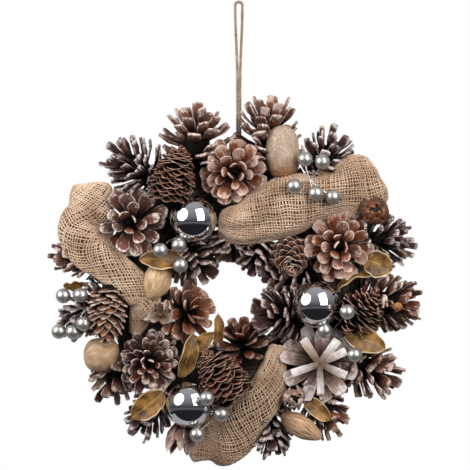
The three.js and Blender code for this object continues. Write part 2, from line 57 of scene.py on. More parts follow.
def addCamera():
    wide = photo["pixels"] * photo["mmPerPixel"]
    data = bpy.data.cameras.new("photoCamera")
    data.sensor_width = photo["sensor"]
    data.lens = photo["sensor"] * photo["distance"] / wide
    data.clip_end = photo["clip"]
    scene.camera = show("photoCamera", data)
    place = (photo["left"] + wide / 2, photo["depth"] - photo["distance"], photo["top"] - wide / 2)
    scene.camera.location = Vector(place) * millimetre
    scene.camera.rotation_euler = (math.pi / 2, 0, 0)


addCamera()


def hexColour(text):  # sRGB hex to the linear values that sockets take
    channels = [int(text[i : i + 2], 16) / 255 for i in (1, 3, 5)]
    return [c / 12.92 if c <= 0.04045 else ((c + 0.055) / 1.055) ** 2.4 for c in channels] + [1.0]


def fill(inputs, values):  # each value is a socket to link or a plain value
    for place, value in values.items():
        if isinstance(value, bpy.types.NodeSocket):
            inputs[place].id_data.links.new(value, inputs[place])
        else:
            inputs[place].default_value = value


# Adds one node and gives back its first output, the one that out names, or all. A kind in capitals is an
# operation of a Math node, and a second word is another node's operation or data type. Values go to the
# inputs in use in their order, names with a capital to the inputs of that name, and other names are
# settings. Stops fill a colour ramp.
def addNode(tree, kind, *values, out="", stops=(), **named):
    kind, _, word = ("Math " + kind if kind.isupper() else kind).partition(" ")
    made = tree.nodes.new("ShaderNode" + kind)
    if word:
        setattr(made, "operation" if hasattr(made, "operation") else "data_type", word)
    for name in [name for name in named if name[0].islower()]:
        setattr(made, name, named.pop(name))
    fill([socket for socket in made.inputs if socket.enabled], dict(enumerate(values)))
    fill(made.inputs, named)
    for i, (position, colour) in enumerate([*stops[:1], *stops[-1:], *stops[1:-1]]):
        elements = made.color_ramp.elements
        element = elements[i] if i < 2 else elements.new(position)
        element.position, element.color = position, hexColour(colour)
    if out == "all":
        return made.outputs
    return made.outputs[out] if out else next(socket for socket in made.outputs if socket.enabled)


def newMaterial(name):
    material = bpy.data.materials.new(name)
    material.use_nodes = True
    return material, partial(addNode, material.node_tree)


def finished(material, **looks):  # gives the shader its plain values and links
    inputs = material.node_tree.nodes["Principled BSDF"].inputs
    fill(inputs, {name.replace("_", " "): value for name, value in looks.items()})
    return material


# A material whose relief and colour follow one fine grain, and broad patches where those are given.
# Grain and patches are scale and detail, and relief is strength and depth in metres.
def mottled(name, grain, relief, stops=(), patches=None, **looks):
    material, node = newMaterial(name)
    place = node("TexCoord", out="Object")
    fine = shade = node("TexNoise", place, *grain)
    if patches:
        shade = node("MULTIPLY", node("ADD", fine, node("TexNoise", place, *patches)), 0.5)
    if stops:
        looks["Base_Color"] = node("ValToRGB", shade, stops=stops)
    bump = node("Bump", Height=fine, Strength=relief[0], Distance=relief[1])
    return finished(material, Normal=bump, **looks)


lights = {
    "roundSoftbox": {"shape": "DISK", "size": 1.2, "size_y": 1.2, "energy": 17, "colour": "#FFFDFA",
                     "toward": (-0.78, -0.50, 0.38), "away": 1.25},
    "tallSoftbox": {"shape": "RECTANGLE", "size": 0.85, "size_y": 1.35, "energy": 20.5, "colour": "#FFFBF4",
                    "toward": (0.55, -0.73, 0.42), "away": 1.3},
}
# A dim room: dark below, a pale line where the wall meets the floor, grey above
room = {"strength": 0.85, "stops": [(0.3, "#2B292D"), (0.37, "#77747A"), (0.43, "#4E4C54"), (0.6, "#85838A"),
                                    (1.0, "#BEBBC0")]}
wreathMiddle = Vector((-0.003, -0.03, -0.24))


def addLights():
    for name, look in lights.items():
        data = bpy.data.lights.new(name, "AREA")
        for setting in ("shape", "size", "size_y", "energy"):
            setattr(data, setting, look[setting])
        data.color = hexColour(look["colour"])[:3]
        light = show(name, data)
        toward = Vector(look["toward"]).normalized()
        light.location = wreathMiddle + toward * look["away"]
        light.rotation_euler = toward.to_track_quat("Z", "Y").to_euler()
    scene.world = bpy.data.worlds.new("studio")
    scene.world.use_nodes = True
    tree = scene.world.node_tree
    rise = addNode(tree, "SeparateXYZ", addNode(tree, "TexCoord"), out="Z")
    colour = addNode(tree, "ValToRGB", addNode(tree, "MapRange", rise, -1, 1), stops=room["stops"])
    fill(tree.nodes["Background"].inputs, {"Color": colour, "Strength": room["strength"]})


addLights()

# The sweep stands farther off than the camera, so that views from behind are free. In metres.
backdrop = {"floor": -6.69, "front": -0.74, "back": 6.77, "bend": 3.0, "steps": 12, "reach": 11.25,
            "top": 11.31, "glow": 0.97, "darkBelow": -5.94, "litAbove": -2.57}


def meshFrom(name, bm):
    mesh = bpy.data.meshes.new(name)
    bm.to_mesh(mesh)
    bm.free()
    return mesh


def chained(bm, points, closed=False):  # vertices on a line or ring, with the edges between them
    verts = [bm.verts.new(point) for point in points]
    return verts + [bm.edges.new(pair) for pair in zip(verts, verts[1:] + verts[: int(closed)])]


def vertsOf(geom):
    return [v for v in geom if isinstance(v, bmesh.types.BMVert)]


def addBackdrop():
    bend, floor, back = backdrop["bend"], backdrop["floor"], backdrop["back"] - backdrop["bend"]
    line = [(backdrop["front"], floor), (back, floor)]
    for step in range(1, backdrop["steps"] + 1):
        angle = math.pi / 2 * step / backdrop["steps"]
        line.append((back + bend * math.sin(angle), floor + bend * (1 - math.cos(angle))))
    line.append((backdrop["back"], backdrop["top"]))
    bm = bmesh.new()
    chained(bm, [(-backdrop["reach"], y, z) for y, z in line])
    side = bmesh.ops.extrude_edge_only(bm, edges=bm.edges[:])["geom"]
    bmesh.ops.translate(bm, verts=vertsOf(side), vec=(2 * backdrop["reach"], 0, 0))
    mesh = meshFrom("paleSweep", bm)
    mesh.shade_smooth()
    # Matt white paper on the floor that runs up in front of a light panel
    material, node = newMaterial("paperOverLightPanel")
    height = node("SeparateXYZ", node("TexCoord", out="Object"), out="Z")
    lit = node("MapRange", height, backdrop["darkBelow"], backdrop["litAbove"])
    colour = node("Mix RGBA", lit, hexColour("#F4F4F3"), hexColour("#55555A"))
    finished(material, Base_Color=colour, Roughness=0.9, Emission_Color=hexColour("#FFFFFF"),
             Emission_Strength=node("MULTIPLY", lit, backdrop["glow"]))
    mesh.materials.append(material)
    show("paleSweep", mesh)


addBackdrop()
print("camera, lights and backdrop are set")


# Turns a bmesh in millimetres, or a finished mesh of tubes, to a shown piece that rides on the wreath
# and stands for CAD nodes
def addPiece(name, shape, material, nodes=(), sharpAngle=40):
    if isinstance(shape, bmesh.types.BMesh):
        bmesh.ops.recalc_face_normals(shape, faces=shape.faces)
        bmesh.ops.scale(shape, verts=shape.verts, vec=(millimetre,) * 3)
        shape = meshFrom(name, shape)
    shape.name = name
    shape.shade_smooth()
    shape.set_sharp_from_angle(angle=math.radians(sharpAngle))
    shape.materials.clear()
    shape.materials.append(material)
    piece = show(name, shape)
    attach(piece, "root")
    if nodes:
        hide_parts(*nodes)
    return piece


# Mesh of round tubes along lines of points in millimetres, made by a bevelled curve
def tubesMesh(lines, radius, sides=6, radii=None):
    data = bpy.data.curves.new("tubes", "CURVE")
    data.dimensions = "3D"
    data.bevel_depth = radius * millimetre
    data.bevel_resolution = max(0, (sides - 4) // 2)
    data.use_fill_caps = True
    for index, line in enumerate(lines):
        spline = data.splines.new("POLY")
        spline.points.add(len(line) - 1)
        for i, (point, place) in enumerate(zip(spline.points, line)):
            point.co = (*(Vector(place) * millimetre), 1)
            if radii:
                point.radius = radii[index][i]
    holder = bpy.data.objects.new("tubes", data)
    mesh = bpy.data.meshes.new_from_object(holder)
    bpy.data.objects.remove(holder)
    bpy.data.curves.remove(data)
    return mesh


def joinTubes(bm, lines, radius, sides=6):  # adds tubes to a shape that is still in millimetres
    bmesh.ops.scale(bm, verts=bm.verts, vec=(millimetre,) * 3)
    bm.from_mesh(tubesMesh(lines, radius, sides))
    bmesh.ops.scale(bm, verts=bm.verts, vec=(1 / millimetre,) * 3)


def lerp(ends, t):
    return ends[0] + (ends[1] - ends[0]) * t


def along(stations, t):  # value at t along evenly spaced stations
    place = min(max(t, 0), 1) * (len(stations) - 1)
    i = min(int(place), len(stations) - 2)
    return lerp((stations[i], stations[i + 1]), place - i)


# Point and direction on a smooth line through points, at t from 0 to 1 by station
def onLine(points, t):
    place = min(max(t, 0), 1) * (len(points) - 1)
    i = min(int(place), len(points) - 2)
    f = place - i
    p = [points[min(max(i + k, 0), len(points) - 1)] for k in (-1, 0, 1, 2)]
    slope, square = p[2] - p[0], 2 * p[0] - 5 * p[1] + 4 * p[2] - p[3]
    cube = 3 * p[1] - p[0] - 3 * p[2] + p[3]
    at = (2 * p[1] + slope * f + square * f * f + cube * f**3) / 2
    return at, (slope + 2 * square * f + 3 * cube * f * f) / 2


def smoothLine(points, parts):
    return [onLine(points, i / parts)[0] for i in range(parts + 1)]


def lengthOf(path):
    return sum((b - a).length for a, b in zip(path, path[1:]))


def spun(bm, points, steps, centre=(0, 0, 0), axis=(0, 0, 1), closed=False):  # a full turn of a profile
    bmesh.ops.spin(bm, geom=chained(bm, points, closed), cent=centre, axis=axis, angle=2 * math.pi,
                   steps=steps, use_merge=True, use_duplicate=False)


# Gives every corner a place on a map, from where it stands on a flat square of side 1
def mapFlat(layer, faces, sizes=(1, 1), middle=0.5):
    for face in faces:
        for loop in face.loops:
            loop[layer].uv = (loop.vert.co.x * sizes[0] + middle, loop.vert.co.y * sizes[1] + middle)


twine = {"diameter": 2.0, "loopHalfGap": 3, "strandHalfGap": 1.15, "waist": -63, "knotTop": -127,
         "knotRadius": 4.2, "plies": 3, "plyRadius": 0.7, "plyReach": 0.55, "layLength": 7, "hairs": 150,
         "hairRadius": 0.06, "hairLength": (1.5, 4), "hairLift": 0.9, "turns": 5, "turnPitch": 1.75,
         "turnReach": 0.38, "turnLay": 6.5, "knotReach": 0.42, "knotLay": 6.0, "knotAcross": 1.05,
         "knotDeep": 1.3, "knotUp": 1.15, "tailReach": 0.4, "tailHalfGap": 1.1}
# Jute twine, spun and polished: dull, with pale and dark fibres along each ply
juteMaterial = mottled("spunJuteTwine", (900, 4), (0.6, 0.0003),
                       [(0.3, "#5E5246"), (0.5, "#91806C"), (0.75, "#BCAB97")], (90, 2),
                       Roughness=0.88, Specular_IOR_Level=0.25)


def loopPath():
    gap, narrow, waist, knot = (twine[k] for k in ("loopHalfGap", "strandHalfGap", "waist", "knotTop"))
    left = [(-narrow, knot - 1), (-narrow, knot + 8), (-narrow, knot + 24), (-narrow, waist - 16),
            (-narrow, waist), (-narrow - 0.4, waist + 14), (-gap + 0.9, waist + 28), (-gap + 0.2, -18),
            (-gap, -8)]
    archMiddle = twine["diameter"] / 2 - gap
    angles = [math.pi * (1 - step / 6) for step in range(7)]
    arch = [(gap * math.cos(angle), archMiddle + gap * math.sin(angle)) for angle in angles]
    right = [(-x, z) for x, z in reversed(left)]
    return smoothLine([Vector((x, 0, z)) for x, z in left + arch + right], 400)


# Plies that wind round a path, side by side, for a twisted rope
def twisted(path, plies, reach, layLength, phase=0):
    lines = [[] for _ in range(plies)]
    run = 0
    for i, point in enumerate(path):
        if i:
            run += (point - path[i - 1]).length
        way = (path[min(i + 1, len(path) - 1)] - path[max(i - 1, 0)]).normalized()
        side = (way.orthogonal() if abs(way.y) > 0.95 else way.cross(Vector((0, 1, 0)))).normalized()
        deep = way.cross(side)
        for ply in range(plies):
            angle = phase + 2 * math.pi * (run / layLength + ply / plies)
            lines[ply].append(point + reach * (math.cos(angle) * side + math.sin(angle) * deep))
    return lines


def fibresOn(path, count, lengthRange, lift, seed):  # loose hairs that stand off a twine
    rng = random.Random(seed)
    lines = []
    for _ in range(count):
        i = rng.randrange(4, len(path) - 5)
        way = (path[i + 1] - path[i]).normalized()
        out = Vector([rng.uniform(-1, 1) for _ in range(3)]).cross(way).normalized()
        start = path[i] + out * lift
        reach = rng.uniform(*lengthRange)
        bend = Vector([rng.uniform(-1, 1) for _ in range(3)]) * 0.25
        heading = (way * rng.choice((-1, 1)) + out * rng.uniform(0.2, 0.7)).normalized()
        lines.append([start + heading * reach * f + bend * reach * f * f for f in (0, 0.35, 0.7, 1)])
    return lines


def addCord():
    path = loopPath()
    lines = twisted(path, twine["plies"], twine["plyReach"], twine["layLength"])
    mesh = tubesMesh(lines, twine["plyRadius"], 8)
    rope = addPiece("hang_cord_twine", mesh, juteMaterial, ["hang_cord"])
    hairs = fibresOn(path, twine["hairs"], twine["hairLength"], twine["hairLift"], "loop hairs")
    hairPiece = addPiece("hang_cord_hairs", tubesMesh(hairs, twine["hairRadius"], 4), juteMaterial)


addCord()

# The straw ring with its twine binding and the tie of the loop
ring = {"centre": (-3.2, -8, -240.6), "radius": 83, "halfWidth": 27, "halfDepth": 22, "backDepth": 18,
        "sides": 20, "steps": 72, "lump": 1.2, "strands": 420, "strandRadius": 0.75, "bindTurns": 18,
        "bindSteps": 24, "bindRadius": 0.55, "bindLift": 0.9}
ringCentre = Vector(ring["centre"])


def ringSectionPoint(angle, grow=0):  # section point as distance from the axis and depth
    across = ring["radius"] + (ring["halfWidth"] + grow) * math.cos(angle)
    return across, min((ring["halfDepth"] + grow) * math.sin(angle), ring["backDepth"] + grow)


def ringPoint(turn, angle, grow=0):
    across, deep = ringSectionPoint(angle, grow)
    return ringCentre + Vector((across * math.cos(turn), deep, across * math.sin(turn)))


def straw():
    # Rye straw, dried and bundled: golden-brown stalks about 3 mm wide that run round the ring, dull where
    # they broke, and painted dark on the side that carries the cones, for the shade that falls between them
    material, node = newMaterial("bundledRyeStraw")
    place = node("TexCoord", out="Object")
    split = node("SeparateXYZ", node("VectorMath ADD", place, ringCentre * -millimetre), out="all")
    away = node("VectorMath LENGTH", node("CombineXYZ", split["X"], split["Z"]))
    stalks = node("TexNoise", node("CombineXYZ", away, split["Y"]), 420, 2)
    broad = node("TexNoise", place, 130, 3)
    fine = node("TexNoise", place, 900, 3)
    paintedShadeFront = node("ValToRGB", broad, stops=[(0.3, "#110B07"), (0.55, "#271B11"), (0.75, "#463320")])
    clean = node("ValToRGB", node("Mix", 0.4, stalks, broad),
                 stops=[(0.38, "#4E3618"), (0.5, "#8A683A"), (0.62, "#C09A5E")])
    # Painted shade: the front of the ring, towards the viewer, takes the dark colours
    colour = node("Mix RGBA", node("MapRange", split["Y"], 0.002, 0.012), paintedShadeFront, clean)
    bump = node("Bump", Height=node("ADD", stalks, fine), Strength=0.6, Distance=0.001)
    return finished(material, Base_Color=colour, Roughness=0.6, Normal=bump)


def addRing():
    bm = bmesh.new()
    section = [ringSectionPoint(2 * math.pi * step / ring["sides"]) for step in range(ring["sides"])]
    points = [ringCentre + Vector((*point, 0)) for point in section]
    spun(bm, points, ring["steps"], ringCentre, (0, 1, 0), True)
    for vert in bm.verts:
        out = vert.co - ringCentre
        vert.co += out.normalized() * ring["lump"] * noise.noise(vert.co * 0.16)
        vert.co.y = min(vert.co.y, ringCentre.y + ring["backDepth"])
    strawMaterial = straw()
    addPiece("ring_straw_body", bm, strawMaterial, ["ring_base"], 60)
    rng = random.Random("straw stalks")
    lines = []
    for _ in range(ring["strands"]):
        angle = rng.uniform(0, 2 * math.pi)
        turn = rng.uniform(0, 2 * math.pi)
        sweep = rng.uniform(0.35, 0.8)
        drift = rng.uniform(-0.25, 0.25)
        lines.append([ringPoint(turn + sweep * f, angle + drift * f, 0.25 + 0.5 * math.sin(math.pi * f))
                      for f in (0, 0.2, 0.4, 0.6, 0.8, 1)])
    addPiece("ring_straw_stalks", tubesMesh(lines, ring["strandRadius"], 4), strawMaterial, (), 60)
    # Binding twine that spirals round the straw
    path = []
    for i in range(ring["bindTurns"] * ring["bindSteps"] + 1):
        angle = 2 * math.pi * i / ring["bindSteps"]
        path.append(ringPoint(angle / ring["bindTurns"], angle, ring["bindLift"]))
    addPiece("ring_binding_twine", tubesMesh([path], ring["bindRadius"]), strawMaterial)


addRing()


def addTie():
    lines = []
    for turnIndex in range(twine["turns"]):
        shift = (turnIndex - (twine["turns"] - 1) / 2) * twine["turnPitch"]
        off = Vector((shift, 0, 0))
        around = [ringPoint(math.pi / 2, 2 * math.pi * i / 40, 0.2) + off for i in range(41)]
        lines += twisted(around, twine["plies"], twine["turnReach"], twine["turnLay"], phase=turnIndex)
    knotMiddle = Vector((0, 0, twine["knotTop"] - twine["knotRadius"]))
    # An overhand knot: a trefoil line drawn small
    knot = []
    for i in range(61):
        a = 2 * math.pi * i / 60
        knot.append(knotMiddle + Vector((twine["knotAcross"] * (math.sin(a) + 2 * math.sin(2 * a)),
                                         twine["knotDeep"] * -math.sin(3 * a),
                                         twine["knotUp"] * (math.cos(a) - 2 * math.cos(2 * a)))))
    lines += twisted(knot, twine["plies"], twine["knotReach"], twine["knotLay"])
    tail = [knotMiddle + Vector(off) for off in ((0.5, 0.8, -1), (0.8, 0.5, -8), (0.4, -3, -16))]
    tail = smoothLine(tail + [ringPoint(math.pi / 2, -math.pi / 2.4, 0.2)], 20)
    for side in (-twine["tailHalfGap"], twine["tailHalfGap"]):
        beside = [p + Vector((side, 0, 0)) for p in tail]
        lines += twisted(beside, twine["plies"], twine["tailReach"], twine["turnLay"])
    mesh = tubesMesh(lines, twine["plyRadius"])
    addPiece("hang_cord_tie_twine", mesh, juteMaterial, ["hang_cord_tie"])


addTie()
print("ring and tie are made")


# Cones. Each finish: its slot; its colours at the foot (dark, partly its own colour and partly painted
# shade), the middle and the body of a scale, of the white brushed on, the pale rim and the stain of resin;
# where the white begins;
# the rim's width as a share of the scale, its strength and its least strength. Last, what differs from the
# common finish.
commonFinish = {"warmFrom": 0.45, "stops": (0.18, 0.48, 0.85), "footShade": 0.15, "ageing": 0.5,
                "sheen": 0.16}
finishParts = "foot middle body frost rim warm slot frostFrom rimWide rimShare rimLeast".split()
coneFinishes = {
    # Scots pine cone, open and dry, brushed with white: dull wood, darkest at the foot
    "frostedTanPine": ("cone_tan", "#1A0703 #64341F #98664E #C6A799 #E3D6CE #9A5428", [0.74, 0.1, 0.7, 0.1]),
    "weatheredTanPine": ("cone_tan", "#160806 #4E302B #7C564D #D8C9C2 #E6DCD6 #964F26",
                         [0.86, 0.1, 0.8, 0.1]),
    "warmTanPine": ("cone_tan", "#160603 #4A2A1E #7A5140 #BC9E8C #CDB29E #8A4820", [0.92, 0.08, 0.5, 0.1],
                    {"warmFrom": 0.6}),
    "frostedBrownPine": ("cone_brown", "#120402 #431F12 #70483A #C8B4AA #D2C2B8 #74391C",
                         [0.9, 0.1, 0.7, 0.1]),
    "brushedBrownPine": ("cone_brown", "#110402 #40221A #66443A #D2C0B7 #DED0C8 #8A4A26",
                         [0.83, 0.1, 0.8, 0.15]),
    "dullBrownPine": ("cone_brown", "#0E0302 #34150C #582E20 #A88E82 #B79E92 #743A1E",
                      [1.02, 0.09, 0.6, 0.15]),
    "frostedDarkPine": ("cone_dark", "#0C0302 #27110E #482D2A #C2B6B2 #D8D0CC #5C2C16",
                        [0.96, 0.14, 0.75, 0.1]),
    "plainTanPine": ("cone_tan", "#100503 #36201B #5E443D #B4A29A #CDBFB8 #74442A", [0.95, 0.1, 0.6, 0.1],
                     {"warmFrom": 0.6}),
    # Spruce cone: thin papery scales, warm brown faces and a fine pale edge
    "paperyBrownSpruce": ("cone_brown", "#120402 #36140A #643420 #A5755A #C8AC9A #7E3A14",
                          [1.15, 0.05, 0.75, 0.4],
                          {"stops": (0.46, 0.78, 1.05), "warmFrom": 0.6, "ageing": 0.25}),
    "paperyTanSpruce": ("cone_tan", "#180804 #4A2A1E #84583F #B79A8A #DDCDC1 #8A5024",
                        [1.05, 0.06, 0.85, 0.45], {"stops": (0.38, 0.68, 0.98), "warmFrom": 0.6}),
    # Pine cone bleached with peroxide: chalky and fibrous, and its topmost scales split to strips
    "bleachedPine": ("cone_bleached", "#2A1812 #826860 #B29E97 #D2C9C6 #D9D0CC #8D6A55",
                     [0.74, 0.07, 0.6, 0.2], {"footShade": 0.35}),
    "bleachedStrips": ("cone_bleached", "#8C7666 #B5AAA6 #CEC7C5 #DEDAD8 #E2DDDA #AE8C70",
                       [0.7, 0.06, 0.5, 0.3], {"footShade": 0.6, "warmFrom": 0.7}),
    # Seed capsule: leathery and red-brown with an ochre gleam
    "leatheryHusk": ("husk", "#1C0803 #3E1A0E #5E3422 #8A5C3A #A87C54 #7E4218", [1.08, 0.07, 0.6, 0.3],
                     {"sheen": 0.5}),
    # Husks of another kind and shells: dry, paler and greyer
    "paleHusk": ("husk", "#30201A #6E544C #937A70 #C0ACA2 #D3C0B4 #A8642B", [0.84, 0.07, 0.8, 0.5],
                 {"warmFrom": 0.7}),
    "greyShell": ("nut_shell", "#7C6248 #7C6248 #A8988A #C6BEB8 #CFC6BE #94683A", [0.8, 0.06, 0.7, 0.3],
                  {"warmFrom": 0.4, "footShade": 0.7, "stops": (0.0, 0.3, 0.7)}),
}
for name, (slotName, colours, numbers, *others) in coneFinishes.items():
    parts = zip(finishParts, colours.split() + [slotName] + numbers)
    coneFinishes[name] = {**commonFinish, **dict(parts), **dict(*others)}
weathered = "#8B7C7E"
orangeTint = 0.539  # a tint that brings out the stain of resin


def coneMaterial(name, look):
    material, node = newMaterial(name)
    split = node("SeparateXYZ", node("UVMap", uv_map="scaleMap"), out="all")
    across, up = split["X"], split["Y"]
    tint = node("Attribute", attribute_name="tint", out="Fac")
    place = node("TexCoord", out="Object")
    # Each scale has its own streaks and its own second number from 0 to 1.
    own = node("FRACT", node("MULTIPLY", tint, 37))
    stretched = [node("MULTIPLY", *pair) for pair in ((across, 12), (up, 2.4), (tint, 60))]
    streaks = node("TexNoise", node("CombineXYZ", *stretched), 1, 3)
    grit = node("TexNoise", place, 900, 3)
    patches = node("TexNoise", place, 250, 3)  # about 4 mm wide
    uneven = node("MULTIPLY_ADD", streaks, 0.8, node("MULTIPLY_ADD", patches, 0.9, -0.85))
    height = node("MULTIPLY_ADD", tint, 0.4, node("ADD", up, -0.2))
    height = node("MULTIPLY_ADD", uneven, 0.7, height)
    # The ramp runs dark at the foot: partly the scale's own colour and partly painted shade deep in the cone
    footAt, middleAt, bodyAt = look["stops"]
    colour = node("ValToRGB", height, stops=[(footAt, look["foot"]), (middleAt, look["middle"]),
                                             (bodyAt, look["body"])])
    warm = node("MULTIPLY", node("MapRange", own, look["warmFrom"], 1), node("MapRange", up, 0.1, 0.5))
    warm = node("MULTIPLY", warm, node("MapRange", patches, 0.42, 0.6))
    colour = node("Mix RGBA", warm, colour, hexColour(look["warm"]))
    # Old scales have weathered to a cooler grey-brown.
    aged = node("MapRange", node("FRACT", node("MULTIPLY", tint, 91)), 0.35, 1, 0, look["ageing"])
    colour = node("Mix RGBA", aged, colour, hexColour(weathered), blend_type="SOFT_LIGHT")
    colour = node("Mix RGBA", aged, colour, node("HueSaturation", Color=colour, Saturation=0.55))
    # Painted shade: each scale darkens towards its foot, deep in the cone, down to footShade
    shade = node("MapRange", up, footAt, footAt + 0.42, look["footShade"], 1)
    colour = node("Mix RGBA", 1, colour, shade, blend_type="MULTIPLY")
    # White brushed on the ends, where it caught: in streaks and patches
    caught = node("MULTIPLY_ADD", tint, 0.5, node("ADD", up, -0.25))
    caught = node("MULTIPLY_ADD", uneven, 1.1, caught)
    frost = node("MapRange", caught, look["frostFrom"], look["frostFrom"] + 0.2)
    colour = node("Mix RGBA", frost, colour, hexColour(look["frost"]))
    wide, narrow = look["rimWide"], look["rimWide"] * 0.3
    edge = node("MINIMUM", across, node("SUBTRACT", 1, across))
    rim = node("MULTIPLY", node("MapRange", edge, wide, narrow), node("MapRange", up, 0.3, 0.75))
    rim = node("MAXIMUM", rim, node("MapRange", up, 1 - wide, 1 - narrow))
    evenness = node("MAXIMUM", node("MapRange", uneven, -0.12, 0.1), look["rimLeast"])
    rim = node("MULTIPLY", rim, node("MULTIPLY", evenness, look["rimShare"]))
    colour = node("Mix RGBA", rim, colour, hexColour(look["rim"]))
    relief = node("MULTIPLY_ADD", grit, 0.5, node("ADD", streaks, patches))
    bump = node("Bump", Height=relief, Strength=0.85, Distance=0.0009)
    return finished(material, Base_Color=colour, Roughness=node("MULTIPLY_ADD", grit, 0.5, 0.38),
                    Specular_IOR_Level=look["sheen"], Normal=bump)


coneMaterials = {name: coneMaterial(name, look) for name, look in coneFinishes.items()}

# How far out a scale's tip stands, as a share of the radius, from the lowest scale at 0 to the topmost at 1
surfaces = {
    "flared": lambda t: 0.18 + 0.82 * math.cos(math.pi / 2 * t**1.7),
    "full": lambda t: 0.5 + 0.5 * math.cos(math.pi / 2 * t**2),
    # The last scales close over the tip
    "barrel": lambda t: (1 - 0.8 * max(0, t - 0.85) / 0.15) * math.sin(math.pi * (0.32 + 0.62 * t)) ** 0.8,
    "level": lambda t: 1.08,
    "strips": lambda t: 0.8,  # the split topmost scales of the bleached cone stop short of its rim
    "halfOpen": lambda t: 0.68 - 0.56 * t,  # the lobes of a capsule lean in but don't meet
    "hanging": lambda t: 0.6,
}
# count: scales in all. core: where a scale's foot lies, as a share of the radius. tipRise: height of
# the lowest and topmost tip, and lift: how far a tip is above its foot, as shares of the length.
# surface: one of those above. width: of the lowest and topmost scale, as shares of the radius.
# outline: half width from foot to tip. depth: thickness in mm from foot to tip. curve: how far the scale
# bends towards the cone's tip, as shares of its length. cup: how far its sides rise, in mm. corner: how
# round the end is. loose: how unlike its neighbours a scale is. Last, what differs from the common kind.
commonKind = {"liftPower": 1, "paler": 0.16, "spindle": 0.05}
kindParts = "count core tipRise lift surface width outline depth curve cup corner loose".split()
coneKinds = {
    "rosette": (30, 0.12, (0.14, 1.0), (0.1, 0.36), "flared", (0.46, 0.26), (0.36, 0.46, 0.72, 1.0, 0.84),
                (1.2, 1.3, 1.7, 2.5, 1.8), (0, -0.04, -0.03, 0.03, 0.12), 0.7, 0.3, 1.5),
    "dense": (42, 0.12, (0.14, 1.0), (0.1, 0.4), "flared", (0.38, 0.22), (0.4, 0.5, 0.74, 1.0, 0.8),
              (1.0, 1.2, 1.6, 2.2, 1.6), (0, -0.04, -0.03, 0.03, 0.12), 0.7, 0.34, 1.5),
    "open": (44, 0.2, (0.04, 1.0), (0.0, 0.42), "full", (0.42, 0.3), (0.42, 0.46, 0.66, 0.96, 0.9),
             (1.2, 1.3, 1.6, 2.5, 2.2), (0, -0.04, -0.05, -0.02, 0.07), 0.6, 0.22, 1.8, {"spindle": 0.16}),
    "star": (18, 0.08, (0.12, 0.95), (0.05, 0.5), "flared", (0.42, 0.28), (0.42, 0.56, 0.85, 1.0, 0.86),
             (1.4, 1.6, 2.0, 2.6, 1.9), (0, 0.0, 0.0, 0.02, 0.06), 0.7, 0.22, 1.5),
    "ring": (12, 0.08, (0.2, 0.62), (0.12, 0.3), "level", (0.44, 0.38), (0.42, 0.62, 0.9, 1.0, 0.92),
             (1.8, 2.0, 2.8, 3.6, 3.0), (0, 0.0, 0.02, 0.04, 0.06), 0.8, 0.24, 1.0),
    "strips": (6, 0.03, (0.86, 1.0), (0.0, 0.0), "strips", (0.24, 0.2), (0.72, 0.86, 0.96, 1.0, 1.0),
               (3.0, 3.0, 3.2, 3.6, 3.6), (0, 0.02, 0.03, 0.02, 0.0), -0.4, 0.03, 0.5,
               {"angles": (126, 51, 24, -20, -90, 198)}),
    "spruce": (150, 0.4, (-0.02, 0.98), (-0.1, 0.26), "barrel", (0.76, 0.52), (0.7, 0.94, 1.0, 0.97, 0.66),
               (0.7, 0.7, 0.8, 0.9, 0.8), (0, 0.03, 0.04, 0.03, 0.0), 1.3, 0.5, 1.0,
               {"liftPower": 3.0, "paler": 0.8}),
    "narrow": (130, 0.42, (0.03, 1.0), (-0.08, 0.2), "barrel", (0.46, 0.32), (0.6, 0.85, 1.0, 0.92, 0.6),
               (0.9, 0.9, 1.0, 1.4, 1.2), (0, 0.0, 0.0, 0.02, 0.06), 1.3, 0.5, 1.1),
    "knobbly": (76, 0.42, (0.1, 1.0), (0.08, 0.34), "barrel", (0.76, 0.5), (0.6, 0.85, 1.0, 0.95, 0.6),
                (1.0, 1.1, 1.4, 2.0, 1.6), (0, 0.0, 0.02, 0.03, 0.05), 1.8, 0.55, 0.8),
    "capsule": (8, 0.4, (0.75, 1.0), (0.7, 0.9), "halfOpen", (1.1, 0.9), (0.5, 0.95, 1.0, 0.8, 0.35),
                (2.0, 2.2, 2.2, 2.0, 1.2), (0, -0.4, -0.56, -0.4, 0.05), 2.6, 0.5, 1.6),
    "openHusk": (5, 0.3, (0.8, 1.0), (0.75, 0.95), "halfOpen", (1.5, 1.2), (0.5, 0.95, 1.0, 0.78, 0.3),
                 (1.2, 1.2, 1.2, 1.1, 0.8), (0, -0.4, -0.54, -0.4, 0.02), 3.6, 0.5, 0.6),
    "valves": (3, 0.1, (0.5, 1.0), (0.5, 0.9), "level", (1.1, 0.9), (0.5, 0.95, 1.0, 0.85, 0.4),
               (1.4, 1.4, 1.4, 1.3, 0.9), (0, -0.2, -0.26, -0.16, 0.1), 3.4, 0.5, 1.6),
    "husk": (7, 0.3, (0.9, 1.0), (0.88, 1.0), "hanging", (1.15, 0.95), (0.45, 0.9, 1.0, 0.88, 0.44),
             (1.6, 1.8, 1.8, 1.6, 1.0), (0, -0.22, -0.3, -0.2, 0.02), 2.6, 0.5, 1.4),
}
for name, row in coneKinds.items():
    coneKinds[name] = {**commonKind, **dict(zip(kindParts, row)), **dict(*row[len(kindParts) :])}

# What lies in front of the cones, as spans: two ends, half width and half depth. A scale whose end would
# reach into one is shortened, or left out.
trimmings = []


def addTrimming(a, b, across, deep):
    trimmings.append((Vector(a), Vector(b), across, deep))


def insideTrimming(point, facing):
    for a, b, across, deep in trimmings:
        if facing and across != deep:  # a cone that faces the viewer lies on the cloth
            continue
        span = b - a
        t = (point - a).dot(span) / span.length_squared if span.length_squared else 0
        off = point - a - span * min(max(t, 0), 1)
        if (off.x**2 + off.z**2) / across**2 + off.y**2 / deep**2 < 1:
            return True
    return False


